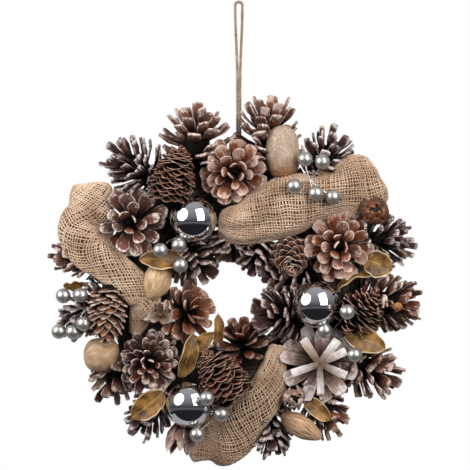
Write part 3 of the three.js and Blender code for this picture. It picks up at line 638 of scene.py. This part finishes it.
# One scale in millimetres: X across, Y from foot to tip, Z towards the cone's own tip
def scaleMesh(name, kind, width, length):
    bm = bmesh.new()
    bmesh.ops.create_grid(bm, x_segments=4, y_segments=4, size=0.5)
    upper = set(vertsOf(bmesh.ops.extrude_face_region(bm, geom=bm.faces[:])["geom"]))
    mapFlat(bm.loops.layers.uv.new("scaleMap"), bm.faces)
    for vert in bm.verts:
        u, v = 2 * vert.co.x, vert.co.y + 0.5
        half = along(kind["outline"], v) * width / 2
        tall = length * v - kind["corner"] * width * 0.5 * u * u * v**3
        lean = along(kind["curve"], v) * length + kind["cup"] * u * u * along(kind["outline"], v)
        thick = along(kind["depth"], v) * (1 - 0.5 * u * u)
        vert.co = (u * half, tall, lean + (0.5 if vert in upper else -0.5) * thick)
    bmesh.ops.recalc_face_normals(bm, faces=bm.faces)
    return meshFrom("scale_" + name, bm)


def axisMatrix(base, axis):
    turn = Vector(axis).normalized().to_track_quat("Z", "Y")
    return Matrix.Translation(base) @ turn.to_matrix().to_4x4()


# How far a scale strays in a cone of looseness 1: angle in radians, rise as a share of the length, reach
# and width as shares of their own, roll as a slope and warp in mm
strays = {"angle": 0.13, "rise": 0.03, "reach": 0.05, "roll": 0.22, "width": 0.14, "warp": 0.36}
noise.seed_set(11)  # without it noise_vector differs from run to run


# Sets scales round a cone by the golden angle, or at the angles given, from the lowest to the topmost
def coneShape(name, kindName, base, axis, length, radius, spin=0.0, count=None, broad=1.0):
    rng = random.Random(name)
    kind = coneKinds[kindName]
    placing = axisMatrix(base, axis)
    count = count or kind["count"]
    typicalWidth, typicalLength = radius * sum(kind["width"]) / 2 * broad, radius * 0.75
    template = scaleMesh(name, kind, typicalWidth, typicalLength)
    bm = bmesh.new()
    tintLayer = bm.verts.layers.float.new("tint")
    # The spindle takes the foot's colour and its painted shade.
    spindle = []  # dark, and the scales stand on it
    for step in range(7):
        t = step / 6
        belly = 0.4 + 0.6 * math.sin(math.pi * (0.15 + 0.75 * t))
        core = (kind["core"] + kind["spindle"]) * radius * belly
        spindle.append((core if step < 6 else 0.05, 0, length * 0.8 * t))
    spun(bm, spindle, 10)
    facing = (placing.to_3x3() @ Vector((0, 0, 1))).y < -0.9

    def stray(what):
        return strays[what] * kind["loose"] * rng.uniform(-1, 1)

    for i in range(count):
        t = (i + 0.5) / count
        angle = math.radians(kind["angles"][i]) if "angles" in kind else spin + i * goldenAngle
        angle += stray("angle")
        out = Vector((math.cos(angle), math.sin(angle), 0))
        tipUp = length * (lerp(kind["tipRise"], t) + stray("rise"))
        lift = length * lerp(kind["lift"], t ** kind["liftPower"])
        foot = out * kind["core"] * radius * (1 - 0.6 * t) + Vector((0, 0, tipUp - lift))
        foot.z = max(foot.z, 0)
        reach = radius * surfaces[kind["surface"]](t) * (1.04 + stray("reach"))
        tip = out * reach + Vector((0, 0, tipUp))
        shares = [f for f in (1, 0.88, 0.76, 0.64, 0.52)
                  if not insideTrimming(placing @ foot.lerp(tip, f), facing)]
        if not shares:
            continue
        way = (tip - foot) * shares[0]
        size = way.length
        way.normalize()
        side = Vector((math.sin(angle), -math.cos(angle), 0))
        side = (side + stray("roll") * way.cross(side)).normalized()
        inward = side.cross(way).normalized()
        turn = Matrix((way.cross(inward), way, inward)).transposed().to_4x4()
        wide = lerp(kind["width"], t) * radius * broad / typicalWidth
        wide *= 1 + stray("width")
        shape = Matrix.Diagonal((wide, size / typicalLength, lerp((1.0, 0.8), t), 1))
        first = len(bm.verts)
        bm.from_mesh(template)
        bm.verts.ensure_lookup_table()
        fresh = bm.verts[first:]
        bmesh.ops.transform(bm, matrix=Matrix.Translation(foot) @ turn @ shape, verts=fresh)
        tint = min(max(rng.gauss(0.5 + kind["paler"] * (t - 0.5), 0.2), 0), 1)
        if kind["surface"] == "flared" and t > 0.86:
            tint = orangeTint  # the innermost scales keep their orange wood
        for vert in fresh:
            vert[tintLayer] = tint
            warp = noise.noise_vector(vert.co * 0.35 + Vector((i, 0, 0)))
            vert.co += warp * strays["warp"] * kind["loose"]
    bpy.data.meshes.remove(template)
    bmesh.ops.transform(bm, matrix=placing, verts=bm.verts)
    return bm


def addCone(name, finish, *placing):
    bm = coneShape(name, *placing)
    return addPiece(name + "_scales", bm, coneMaterials[finish], [name], 45)


def addBleachedStrips():
    bm = coneShape("bleached strips", "strips", (68, -26, -308), (0, -1, 0.05), 30, 30)
    addPiece("cone_bleached_strips", bm, coneMaterials["bleachedStrips"], (), 45)


tan, worn, plain = "frostedTanPine", "weatheredTanPine", "plainTanPine"
brown, dull, dark = "frostedBrownPine", "dullBrownPine", "frostedDarkPine"
spruceBrown, spruceTan = "paperyBrownSpruce", "paperyTanSpruce"
# Name, finish, kind, base, axis, length, radius, spin, count and how broad its scales are
cones = [
    ("cone_rosette_top", tan, "rosette", (-4, -26, -145), (0, -1, 0), 36, 29, 0.3, 34),
    ("cone_rosette_right", tan, "rosette", (83, -26, -207), (0.05, -1, -0.05), 35, 29, 1.1, 33),
    ("cone_rosette_left", worn, "rosette", (-90, -26, -188), (-0.05, -1, 0), 34, 30, 2.0, 24, 1.1),
    ("cone_rosette_lower", "brushedBrownPine", "dense", (-76, -26, -304), (0, -1, -0.12), 34, 27, 0.7, 44),
    ("cone_bleached", "bleachedPine", "ring", (68, -26, -308), (0, -1, 0.05), 30, 30, 0.2),
    ("cone_long_left", spruceBrown, "spruce", (-61, -45, -171), (0.28, -0.06, 0.96), 51, 19, 0.0),
    ("cone_long_lower_left", spruceTan, "knobbly", (-110, -42, -240), (-0.04, -0.1, -1), 56, 16.5, 0.5),
    ("cone_long_bottom", spruceBrown, "spruce", (-3, -44, -336), (-0.55, -0.1, 0.83), 50, 20, 0.9),
    ("cone_narrow_right", spruceBrown, "narrow", (90, -38, -278), (0.6, -0.2, 0.75), 45, 21, 1.4),
    ("cone_small", spruceTan, "spruce", (44, -28, -208), (0, -0.75, -0.6), 36, 15.5, 0.4, 72),
    ("cone_inner_1", plain, "open", (-51, -16, -206), (0.58, -0.35, -0.66), 39, 25, 0.2, 56, 1.25),
    ("cone_inner_2", plain, "open", (-8, -18, -189), (0.05, -0.35, -0.9), 33, 21, 1.0, 50, 1.35),
    ("cone_inner_3", plain, "open", (21, -16, -198), (-0.3, -0.4, -0.9), 36, 20, 0.5, 48, 1.3),
    ("cone_inner_4", plain, "open", (58, -20, -233), (-0.95, -0.3, -0.05), 39, 18, 0.8, 46, 1.3),
    ("cone_inner_5", plain, "open", (52, -20, -266), (-0.85, -0.5, 0.05), 43, 25, 1.6, 54, 1.15),
    ("cone_inner_6", dull, "star", (4, -20, -300), (-0.05, -0.6, 0.8), 38, 25, 2.2, 26),
    ("cone_inner_7", "warmTanPine", "star", (-51, -24, -264), (0.6, -0.78, 0.02), 34, 26, 1.2, 26, 0.95),
    ("cone_outer_1", dark, "open", (-68, -17, -155), (-0.82, -0.2, 0.58), 52, 27, 0.0, 66, 0.78),
    ("cone_outer_2", brown, "open", (-35, -20, -138), (-0.03, -0.2, 1), 50, 31, 0.6, 38, 1.05),
    ("cone_outer_3", brown, "open", (24, -16, -138), (0.06, -0.25, 1), 58, 28, 1.2, 56),
    ("cone_outer_4", dark, "open", (63, -16, -156), (0.42, -0.3, 0.85), 53, 25, 1.9, 54),
    ("cone_outer_5", dark, "open", (99, -15, -204), (1, -0.15, 0.03), 50, 25, 2.4, 60, 0.85),
    ("cone_outer_6", brown, "open", (104, -17, -255), (0.9, -0.4, 0), 53, 26, 0.9, 56, 1.1),
    ("cone_outer_7", brown, "open", (88, -16, -301), (0.88, -0.3, -0.44), 54, 25, 1.5, 58, 1.05),
    ("cone_outer_8", brown, "open", (57, -16, -326), (0.56, -0.25, -0.84), 52, 22, 0.1, 48),
    ("cone_outer_9", dark, "open", (25, -16, -343), (0.1, -0.25, -1), 46, 20, 0.7, 62, 0.95),
    ("cone_outer_10", dark, "open", (-61, -16, -329), (-0.55, -0.2, -0.8), 50, 21, 1.3, 42, 1.15),
    ("cone_outer_11", plain, "open", (-101, -18, -292), (-0.22, -0.2, -1), 48, 24, 2.1, 46),
    ("cone_outer_12", dark, "open", (-107, -16, -249), (-0.82, -0.25, -0.6), 54, 23, 2.2, 56, 1.05),
    ("cone_outer_13", brown, "open", (-107, -16, -219), (-1, -0.2, 0.04), 55, 19, 0.4, 44),
]

baubles = {"radius": 20, "capRadius": 4, "capFoot": 17, "capDepth": 5, "capBevel": 0.3, "wire": 0.7,
           "wireLength": 9, "middles": {"bauble_upper": (-38.5, -46, -185),
                                        "bauble_right": (65.6, -45, -256.5),
                                        "bauble_lower": (-42, -44, -341.5)}}
# Glass ball silvered inside: a clean mirror, a little uneven where it was blown
silveredMaterial = mottled("silveredGlass", (60, 1), (0.06, 0.0006), Base_Color=hexColour("#DADCDE"),
                           Metallic=1, Roughness=0.03)
# Plastic bead under satin silver lacquer: soft double highlight, fine orange peel
satinMaterial = mottled("satinSilverLacquer", (800, 2), (0.25, 0.0002), [(0.3, "#9C9C9A"), (0.7, "#C6C6C3")],
                        Metallic=0.8, Roughness=0.34)


def nearRing(point):
    radial = Vector(point) - ringCentre
    radial.y = 0
    return ringCentre + radial.normalized() * ring["radius"]


def addStalk(bm, foot, end, radius, sides=6):
    joinTubes(bm, [[foot, foot.lerp(end, 0.5), end]], radius, sides)


def addRod(bm, placing, start, depth, radius, topRadius, sides):  # along the axis of a placing
    middle = placing @ Matrix.Translation((0, 0, start + depth / 2))
    bmesh.ops.create_cone(bm, cap_ends=True, segments=sides, radius1=radius, radius2=topRadius, depth=depth,
                          matrix=middle)


def addBaubles():
    radius, capRadius = baubles["radius"], baubles["capRadius"]
    for name, centre in baubles["middles"].items():
        middle = Vector(centre)
        placing = axisMatrix(middle, nearRing(middle) - middle)
        bm = bmesh.new()
        bmesh.ops.create_uvsphere(bm, u_segments=64, v_segments=40, radius=radius, matrix=placing)
        # Metal cap
        addRod(bm, placing, baubles["capFoot"], baubles["capDepth"], capRadius, capRadius * 0.9, 32)
        rims = [e for e in bm.edges if e.calc_face_angle(0) > 1]
        bmesh.ops.bevel(bm, geom=rims, offset=baubles["capBevel"], offset_type="OFFSET", affect="EDGES",
                        segments=2, profile=0.5, material=-1)
        addRod(bm, placing, radius, baubles["wireLength"], baubles["wire"], baubles["wire"], 8)
        addPiece(name + "_glass", bm, silveredMaterial, [name], 50)
        addTrimming(middle, middle, radius + 0.4, radius + 0.4)


addBaubles()

berries = {"radius": 6.4, "wire": 0.42, "stem": 1.1, "sag": 1.2, "picks": {
    "berries_top_right": ((60, -52, -152), [(55.8, -50, -134), (70.3, -50, -136.5), (46.5, -54, -157),
                                            (64.8, -56, -163), (79.2, -54, -166)]),
    "berries_upper_left": ((-58, -38, -213), [(-66.2, -56, -211), (-50.5, -54, -206.5),
                                              (-49.2, -52, -223.5)]),
    "berries_left": ((-130, -37, -262), [(-148.6, -36, -249.5), (-133.7, -42, -249), (-152.4, -32, -279.7),
                                         (-140.2, -38, -280), (-131, -44, -273)]),
    "berries_right": ((79, -40, -279), [(91, -66, -262.7), (72.4, -52, -278.4), (97.5, -54, -299)]),
    "berries_bottom": ((-18, -46, -352), [(-27, -66, -335), (-14.7, -54, -349), (-35.1, -54, -366)]),
}}


def addBerries():
    for name, (root, centres) in berries["picks"].items():
        root = Vector(root)
        bm = bmesh.new()
        lines = []
        for i, middle in enumerate(map(Vector, centres)):
            way = (middle - root).normalized()
            bmesh.ops.create_uvsphere(bm, u_segments=24, v_segments=16, radius=berries["radius"],
                                      matrix=axisMatrix(middle, way))
            side = way.orthogonal().normalized() * (berries["sag"] if i % 2 else -berries["sag"])
            lines.append(smoothLine([root, (root + middle) / 2 + side, middle], 8))
            addTrimming(middle, middle, berries["radius"] + 0.5, berries["radius"] + 0.5)
        joinTubes(bm, lines, berries["wire"])
        addStalk(bm, nearRing(root), root, berries["stem"], 8)
        addPiece(name + "_beads", bm, satinMaterial, [name], 50)


addBerries()
print("baubles and berries are made")

# Each blade: base, heading, facing, length, width, cup and bow
leaves = {"thickness": 0.7, "stalk": 0.9, "uneven": 0.16, "ripple": 1.1, "waves": 13, "blades": {
    "leaf_upper_left": [((-48, -46, -219), (-1, -0.1, 0.02), (0, -1, 0.25), 36, 18, 3, 2)],
    "leaf_right": [((106, -40, -219), (0.95, 0, -0.3), (-0.1, -1, 0.1), 25, 22, 2.5, 2)],
    "leaf_edge_on": [((83, -40, -246), (0.9, -0.1, 0.42), (-0.4, -0.25, 0.88), 34, 26, 4, 4)],
    "leaf_lower_right": [((90, -46, -281), (0.93, 0.05, -0.35), (0, -1, 0.2), 36, 21, 2.5, 3)],
    "leaf_lower_left": [((-64, -44, -331), (-0.78, 0.05, -0.62), (-0.1, -1, -0.15), 34, 21, 3, 2)],
    "leaf_bottom": [((56, -40, -336), (0.76, -0.05, -0.65), (0.1, -1, -0.1), 28, 14, 2.5, 2)],
    "leaf_left": [((-132, -27, -238.5), (-0.95, 0, -0.1), (0, -0.8, -0.9), 17, 12, 2, 1)],
    "leaf_sprig": [((-37, -33, -296), (0.7, -0.1, 0.7), (0, -1, 0.1), 22, 13, 2, 2),
                   ((-50, -37, -318), (0.27, -0.05, 0.96), (0.5, -0.85, 0), 39, 16, 3, 4),
                   ((-19, -32, -291), (0.04, -0.1, 1), (0.5, -0.85, 0), 27, 11, 1.5, 2)],
}}


def preservedLeaf():
    # Leaf kept in glycerine and gilded: leathery, ochre, with paler veins and rim
    material, node = newMaterial("preservedOchreLeaf")
    split = node("SeparateXYZ", node("UVMap", uv_map="leafMap"), out="all")
    place = node("TexCoord", out="Object")
    fromRib = node("ABSOLUTE", node("SUBTRACT", split["X"], 0.5))
    # Side veins leave the rib at a slant, about 4 mm apart.
    slanted = node("MULTIPLY_ADD", split["Y"], 8, node("MULTIPLY", fromRib, -6))
    veinWave = node("ABSOLUTE", node("SUBTRACT", node("FRACT", slanted), 0.5))
    veins = node("MAXIMUM", node("MapRange", fromRib, 0.035, 0.012),
                 node("MapRange", veinWave, 0.07, 0.02, 0, 0.6))
    blotch = node("TexNoise", place, 120, 4)
    fine = node("TexNoise", place, 900, 2)
    colour = node("ValToRGB", blotch, stops=[(0.32, "#3E220C"), (0.5, "#735023"), (0.68, "#A07638")])
    colour = node("Mix RGBA", node("MULTIPLY", veins, 0.45), colour, hexColour("#C4A468"))
    colour = node("Mix RGBA", node("MapRange", fromRib, 0.47, 0.49, 0, 0.8), colour, hexColour("#D2BE98"))
    bump = node("Bump", Height=node("MULTIPLY_ADD", fine, 0.25, veins), Strength=0.4, Distance=0.0006)
    return finished(material, Base_Color=colour, Roughness=0.45, Specular_IOR_Level=0.45, Normal=bump)


leafMaterial = preservedLeaf()


def bladeInto(bm, uvLayer, blade, rng):
    base, heading, facing, length, width, cup, bow = blade
    rib = Vector(heading).normalized()
    side = Vector(facing).cross(rib).normalized()
    up = rib.cross(side)
    first = len(bm.verts)
    bmesh.ops.create_grid(bm, x_segments=10, y_segments=18, size=0.5)
    bm.verts.ensure_lookup_table()
    fresh = bm.verts[first:]
    mapFlat(uvLayer, {f for v in fresh for f in v.link_faces})
    phase = rng.uniform(0, 6)
    for vert in fresh:
        v, u = vert.co.y + 0.5, 2 * vert.co.x
        wide = math.sin(math.pi * min(max(0.03 + 0.97 * v, 0), 1) ** 0.9) ** 0.6 * width / 2
        wide *= 1 + leaves["uneven"] * noise.noise(Vector((phase + (3 if u > 0 else 0), v * 5, 0)))
        wide = max(wide, 0.35)
        ripple = leaves["ripple"] * u * u * math.sin(phase + v * leaves["waves"] + u) * min(1, 4 * v)
        height = bow * math.sin(math.pi * v) + cup * u * u * wide / width * 2 + ripple
        vert.co = Vector(base) + rib * length * v + side * u * wide + up * height


def addLeaves():
    for name, blades in leaves["blades"].items():
        rng = random.Random(name)
        bm = bmesh.new()
        uvLayer = bm.loops.layers.uv.new("leafMap")
        for blade in blades:
            bladeInto(bm, uvLayer, blade, rng)
            start, reach = Vector(blade[0]), Vector(blade[1]).normalized() * blade[3]
            addTrimming(start + reach * 0.15, start + reach * 0.8, blade[4] * 0.38, 6)
        bmesh.ops.solidify(bm, geom=bm.faces[:], thickness=leaves["thickness"])
        stalkEnd = Vector(blades[0][0])
        stalkFoot = nearRing(stalkEnd).lerp(stalkEnd, 0.3)
        lines = [[stalkFoot, stalkFoot.lerp(stalkEnd, 0.5) + Vector((0, -1, 0)),
                  stalkEnd + Vector(blades[0][1]).normalized() * 2]]
        lines += [[stalkEnd, stalkEnd.lerp(Vector(b[0]), 0.5), Vector(b[0])] for b in blades[1:]]
        joinTubes(bm, lines, leaves["stalk"])
        addPiece(name + "_blade", bm, leafMaterial, [name], 60)


addLeaves()
print("leaves are made")

# Nuts and pods, turned from a profile: share of the radius, share of the length
nutProfile = [(0, 0), (0.45, 0.005), (0.75, 0.05), (0.93, 0.18), (1, 0.36), (0.99, 0.52), (0.94, 0.68),
              (0.83, 0.81), (0.64, 0.91), (0.36, 0.975), (0, 1)]
podProfile = [(0, 0), (0.28, 0.02), (0.55, 0.1), (0.82, 0.22), (0.97, 0.38), (0.97, 0.56), (0.85, 0.72),
              (0.6, 0.86), (0.32, 0.95), (0, 1)]
# Name, finish, profile, base, axis, length, radius and roughness in mm
nuts = [
    ("nut_top", "glitteredShell", nutProfile, (37.5, -32, -149), (-0.03, -0.1, 1), 44, 14.5, 0.1),
    ("nut_left", "tanShell", nutProfile, (-103, -27, -300), (-1, -0.3, 0.02), 29, 15, 0.1),
    ("pod_left", "fibrousPod", podProfile, (-63, -38, -221), (-0.35, -0.2, -0.9), 35, 12, 0.9),
    ("pod_bottom", "streakedShell", podProfile, (36, -34, -350), (0.85, -0.2, -0.5), 40, 9.5, 0.6),
]
stalkRadius = 1.6
nutLump = 0.7
# Colours of the foot and from the dark to the pale fibres, fibres round, and share of glitter
shellFinishes = {
    # Areca nut husk, sanded smooth, orange at the foot, dusted with mica glitter
    "glitteredShell": ("#8A5630", "#98806A", "#A59280", "#B2A394", 3, 0.8),
    # Areca nut, plain: smooth mottled husk
    "tanShell": ("#8A6C4C", "#9A7C5C", "#B09374", "#CAB398", 3, 0.0),
    # Luffa-like pod: pale, coarse long fibres
    "fibrousPod": ("#7A5A38", "#947450", "#BE9E78", "#DCC6A6", 14, 0.0),
    # Almond in its shell: pitted streaks
    "streakedShell": ("#5E3E26", "#6E4C32", "#AE8A68", "#D6BFA4", 12, 0.15),
}


def shellMaterial(name, foot, low, middle, high, fibre, glitter):
    material, node = newMaterial(name)
    uv = node("UVMap", uv_map="shellMap")
    fibres = node("TexNoise", node("Mapping", uv, Scale=(fibre * 2.2, 1.6, 1)), 2.2, 5)
    place = node("TexCoord", out="Object")
    grit = node("TexNoise", place, 700, 3)
    colour = node("ValToRGB", fibres, stops=[(0.32, low), (0.5, middle), (0.7, high)])
    footShare = node("MapRange", node("SeparateXYZ", uv, out="Y"), 0.45, 0.1, 0, 0.85)
    colour = node("Mix RGBA", footShare, colour, hexColour(foot))
    spark = 0.0
    if glitter:
        # Mica flakes about 0.6 mm wide, each a flat cell with its own brightness
        bright = node("SeparateXYZ", node("TexVoronoi", place, 1300, out="Color"), out="X")
        spark = node("MapRange", bright, 0.9, 0.97, 0, glitter)
        colour = node("Mix RGBA", spark, colour, hexColour("#E8E2D8"))
    bump = node("Bump", Height=node("ADD", fibres, grit), Strength=0.6, Distance=0.0008)
    return finished(material, Base_Color=colour, Metallic=spark, Roughness=0.6, Specular_IOR_Level=0.35,
                    Normal=bump)


shellMaterials = {name: shellMaterial(name, *look) for name, look in shellFinishes.items()}


def addNuts():
    for name, finish, profile, base, axis, length, radius, rough in nuts:
        bm = bmesh.new()
        uvLayer = bm.loops.layers.uv.new("shellMap")
        points = [Vector((max(across * radius, 0.01), 0, up * length)) for across, up in profile]
        spun(bm, smoothLine(points, 26), 40)
        for face in bm.faces:
            angles = [math.atan2(loop.vert.co.y, loop.vert.co.x) / (2 * math.pi) for loop in face.loops]
            for loop, angle in zip(face.loops, angles):
                wrapped = angle + 1 if max(angles) - angle > 0.5 else angle
                loop[uvLayer].uv = (wrapped, loop.vert.co.z / length)
        for vert in bm.verts:
            ridge = noise.noise(Vector((vert.co.x * 0.5, vert.co.y * 0.5, vert.co.z * 0.06))) * rough
            lump = noise.noise(vert.co * 0.11 + Vector((3, 0, 0))) * nutLump
            out = Vector((vert.co.x, vert.co.y, 0))
            if out.length > 0.5:
                vert.co += out.normalized() * (ridge + lump)
        bmesh.ops.transform(bm, matrix=axisMatrix(base, axis), verts=bm.verts)
        start, reach = Vector(base), Vector(axis).normalized() * length
        addStalk(bm, nearRing(start), start + reach * 0.3, stalkRadius)
        addPiece(name + "_shell", bm, shellMaterials[finish], [name], 60)
        addTrimming(start + reach * 0.2, start + reach * 0.8, radius + 1, radius + 10)


addNuts()
print("nuts are made")

# Seed capsules, husks and shells: name, foot of the stalk, finish, kind, base, axis, length, radius, spin
capsules = {
    "capsule_right": ((80, -14, -172), "leatheryHusk", "capsule", (113, -35, -177.5), (0.1, -1, 0.05), 14,
                      14.5),
    "capsule_lower": ((42, -24, -325), "paleHusk", "openHusk", (46, -40, -335), (0.1, -1, -0.1), 11, 12, 0.5),
    "husks_bottom": ((-38, -22, -344), "paleHusk", "husk", (-46, -32, -356), (-0.22, -0.3, -1), 29, 17),
    "shells_left": ((-62, -24, -258), "greyShell", "valves", (-66, -42, -266), (-0.1, -1, 0.1), 10, 13, 0.9),
}
# The drop of resin before the right-hand cones, on a wire from the ring
drop = {"middle": (134, -52, -258.4), "axis": (0.3, -1, 0.2), "radius": 3.8, "wire": 0.5, "lump": 0.7}


def addCapsules():
    for name, (foot, finish, kindName, base, *placing) in capsules.items():
        bm = coneShape(name, kindName, base, *placing)
        addStalk(bm, Vector(foot), Vector(base), stalkRadius)
        addPiece(name + "_flaps", bm, coneMaterials[finish], [name], 45)


def addDrop():
    middle = Vector(drop["middle"])
    bm = bmesh.new()
    bmesh.ops.create_uvsphere(bm, u_segments=24, v_segments=16, radius=drop["radius"],
                              matrix=axisMatrix(middle, drop["axis"]))
    for vert in bm.verts:
        vert.co += (vert.co - middle).normalized() * drop["lump"] * noise.noise(vert.co * 0.35)
    addStalk(bm, nearRing(middle), middle, drop["wire"])
    # Resin that has run and set: waxy orange-brown, cloudy, with a dull skin
    resin = mottled("hardenedResin", (420, 4), (0.5, 0.0005),
                    [(0.34, "#6A3810"), (0.5, "#9A6226"), (0.68, "#C08844")],
                    Roughness=0.38, Specular_IOR_Level=0.5)
    addPiece("resin_drop", bm, resin, (), 60)
    addTrimming(middle, middle, drop["radius"] + 0.6, drop["radius"] + 0.6)


addCapsules()
addDrop()
print("capsules are made")

# The slant of the weave in degrees, the height of the folds, and stations of the middle with the half width
hessian = {"pitch": 2.15, "yarn": 0.61, "wave": 0.4, "front": 0.66, "sheetDrop": 1.0, "sheetThickness": 0.5,
           "flatness": 0.5, "least": 4, "closing": 0.04, "fray": 220, "hair": 0.07, "gathered": 0.8,
           "girthAt": 0.45, "sheetAcross": 56, "sheetPitch": 2.2, "stray": 0.9, "swell": 0.35}
swags = {
    "hessian_left": (33, 3.6, [
        (-124, -26, -155.5, 15), (-124, -29, -165, 17.5), (-125, -30, -178, 18.5), (-129, -30, -193, 23),
        (-125, -34, -209, 19.5), (-112, -38, -222, 14.5), (-94, -40, -237, 13.5), (-80, -38, -252, 13),
        (-84, -34, -269, 8.5), (-88, -30, -282, 4)]),
    "hessian_upper_right": (14, 6.5, [
        (-15, -34, -188, 11), (-7, -37, -189, 15), (5, -38, -188, 17.5), (23, -38, -181, 22),
        (44, -38, -173, 25), (65, -38, -167, 21), (86, -36, -160.5, 20), (102, -30, -154.5, 25.5),
        (116, -24, -147, 20.5)]),
    "hessian_bottom": (24, 5.0, [
        (32, -34, -291, 6), (28, -34, -314, 11), (21, -33, -333, 15.5), (5, -28, -352, 19),
        (-8, -24, -367, 22), (-20, -22, -373, 22), (-29, -22, -376, 14), (-43, -22, -382, 9)]),
}
# Hessian, plain woven from unbleached jute yarn: dull and hairy, sandy
yarnMaterial = mottled("unbleachedHessian", (1100, 4), (0.7, 0.0003),
                       [(0.33, "#8A705A"), (0.5, "#BFA38B"), (0.68, "#E4D0BA")], (45, 3),
                       Roughness=0.9, Specular_IOR_Level=0.2)


def hessianLining():
    # The same cloth one layer down, and behind, painted dark for the shade it lies in: its weave is drawn,
    # one yarn to each step of the cloth's map
    material, node = newMaterial("hessianInPaintedShade")
    uv = node("UVMap", uv_map="clothMap")
    patch = node("TexNoise", node("TexCoord", out="Object"), 350, 3)
    yarns = []
    for way in ("X", "Y"):
        step = node("FRACT", node("ADD", patch, node("SeparateXYZ", uv, out=way)))
        off = node("ABSOLUTE", node("SUBTRACT", step, 0.5))
        yarns.append(node("MapRange", off, 0.4, 0.2))
    shade = node("MULTIPLY", node("MAXIMUM", *yarns), patch)
    # Painted shade: dark colours for the layer that lies in shadow under the yarns
    colour = node("ValToRGB", shade, stops=[(0.1, "#241910"), (0.45, "#6A523C"), (0.7, "#94785C")])
    bump = node("Bump", Height=shade, Strength=0.8, Distance=0.0008)
    return finished(material, Base_Color=colour, Roughness=0.95, Specular_IOR_Level=0.1, Normal=bump)


liningMaterial = hessianLining()


# The gathered band as a surface: t along from 0 to 1, w round from -1 to 1 with 0 at the front
def swagSurface(stations, seed, foldHeight):
    points = [Vector(s[:3]) for s in stations]
    halves = [Vector((s[3], 0, 0)) for s in stations]

    def at(t, w, lift):
        middle, way = onLine(points, t)
        nearEnd = min(t, 1 - t, hessian["closing"]) / hessian["closing"]
        # Gathered to a blunt, rounded end
        half = onLine(halves, t)[0].x * (0.3 + 0.7 * (1 - (1 - nearEnd) ** 3) ** 0.4)
        way.normalize()
        side = Vector((0, 1, 0)).cross(way).normalized()
        deep = way.cross(side)
        halfDepth = max(hessian["flatness"] * half, hessian["least"])
        angle = math.pi * w
        # Long folds that drift across the band, and finer ones beside them
        fold = noise.noise(Vector((w * 2.6 + seed + t * 1.5, t * 2.2, seed))) * foldHeight
        fold += noise.noise(Vector((w * 6 + seed, t * 3.5, seed + 4))) * foldHeight * 0.4
        fold *= min(1, half / 14) * math.cos(angle / 2)
        out = (side * math.sin(angle) * halfDepth - deep * math.cos(angle) * half).normalized()
        place = middle + side * math.sin(angle) * half - deep * math.cos(angle) * halfDepth
        return place + out * (fold + lift)

    return at


# Yarns both ways of the weave, laid out on the flat cloth and carried to its surface. Each strays from
# its place and swells and thins, so that no two holes are alike.
def wovenYarns(surface, index, slant, length, girth, rng):
    halfWide, reach, pitch = girth / 2 * hessian["front"], length + girth, hessian["pitch"]
    lines, radii = [], []
    for way in (0, 1):
        angle = math.radians(slant) + way * math.pi / 2
        for k in range(-int(reach / pitch), int(reach / pitch) + 1):
            own, thick = rng.uniform(-0.45, 0.45), rng.uniform(0.72, 1.12)
            line, radius = [], []
            for j in range(int(-2 * reach / pitch), int(2 * reach / pitch) + 1):
                run = j * pitch / 2
                stray = own + hessian["stray"] * noise.noise(Vector((run * 0.13, k * 0.45, 20 * way + index)))
                off = k * pitch + stray
                s = run * math.cos(angle) - off * math.sin(angle)
                p = run * math.sin(angle) + off * math.cos(angle)
                if 0 <= s <= length and abs(p) <= halfWide:
                    crest = math.cos(math.pi * (j / 2 + k)) * (1 if way else -1)
                    rise = 0 if j % 2 else hessian["wave"] * crest
                    line.append(surface(s / length, p / girth * 2, rise))
                    swell = hessian["swell"] * noise.noise(Vector((run * 0.5, k * 3.1, way)))
                    radius.append(thick * (1 + swell))
                elif line:
                    break
            if len(line) > 3:
                lines.append(line)
                radii.append(radius)
    for i in range(hessian["fray"]):  # loose fibres
        line = lines[rng.randrange(len(lines))]
        if len(line) > 12:
            lines += fibresOn(line, 1, (2, 5), 0.5, i)
            radii.append([hessian["hair"]] * 4)
    return tubesMesh(lines, hessian["yarn"], radii=radii)


def addSwags():
    for index, (name, (slant, foldHeight, stations)) in enumerate(swags.items()):
        surface = swagSurface(stations, 5.0 + 7 * index, foldHeight)
        length = lengthOf([surface(i / 60, 0, 0) for i in range(61)])
        girth = lengthOf([surface(hessian["girthAt"], w / 20 - 1, 0) for w in range(41)])
        mesh = wovenYarns(surface, index, slant, length, girth, random.Random(name))
        yarns = addPiece(name + "_yarns", mesh, yarnMaterial, (), 80)
        bm = bmesh.new()
        bmesh.ops.create_grid(bm, x_segments=hessian["sheetAcross"],
                              y_segments=int(length / hessian["sheetPitch"]), size=0.5)
        sizes = (girth / hessian["pitch"], length / hessian["pitch"])
        mapFlat(bm.loops.layers.uv.new("clothMap"), bm.faces, sizes, 0)
        for vert in bm.verts:
            vert.co = surface(vert.co.y + 0.5, 2 * vert.co.x * 0.998, -hessian["sheetDrop"])
        cloth = addPiece(name + "_cloth", bm, liningMaterial, [name], 80)
        wall = cloth.modifiers.new("clothThickness", "SOLIDIFY")
        wall.thickness = hessian["sheetThickness"] * millimetre
        wall.offset = 0
        for (*a, halfA), (*b, halfB) in zip(stations, stations[1:]):
            half = (halfA + halfB) / 2
            addTrimming(a, b, half, max(hessian["flatness"] * half, hessian["least"]) + 1)


addSwags()
print("swags are made")

for cone in cones:
    addCone(*cone)
addBleachedStrips()
print("cones are made")
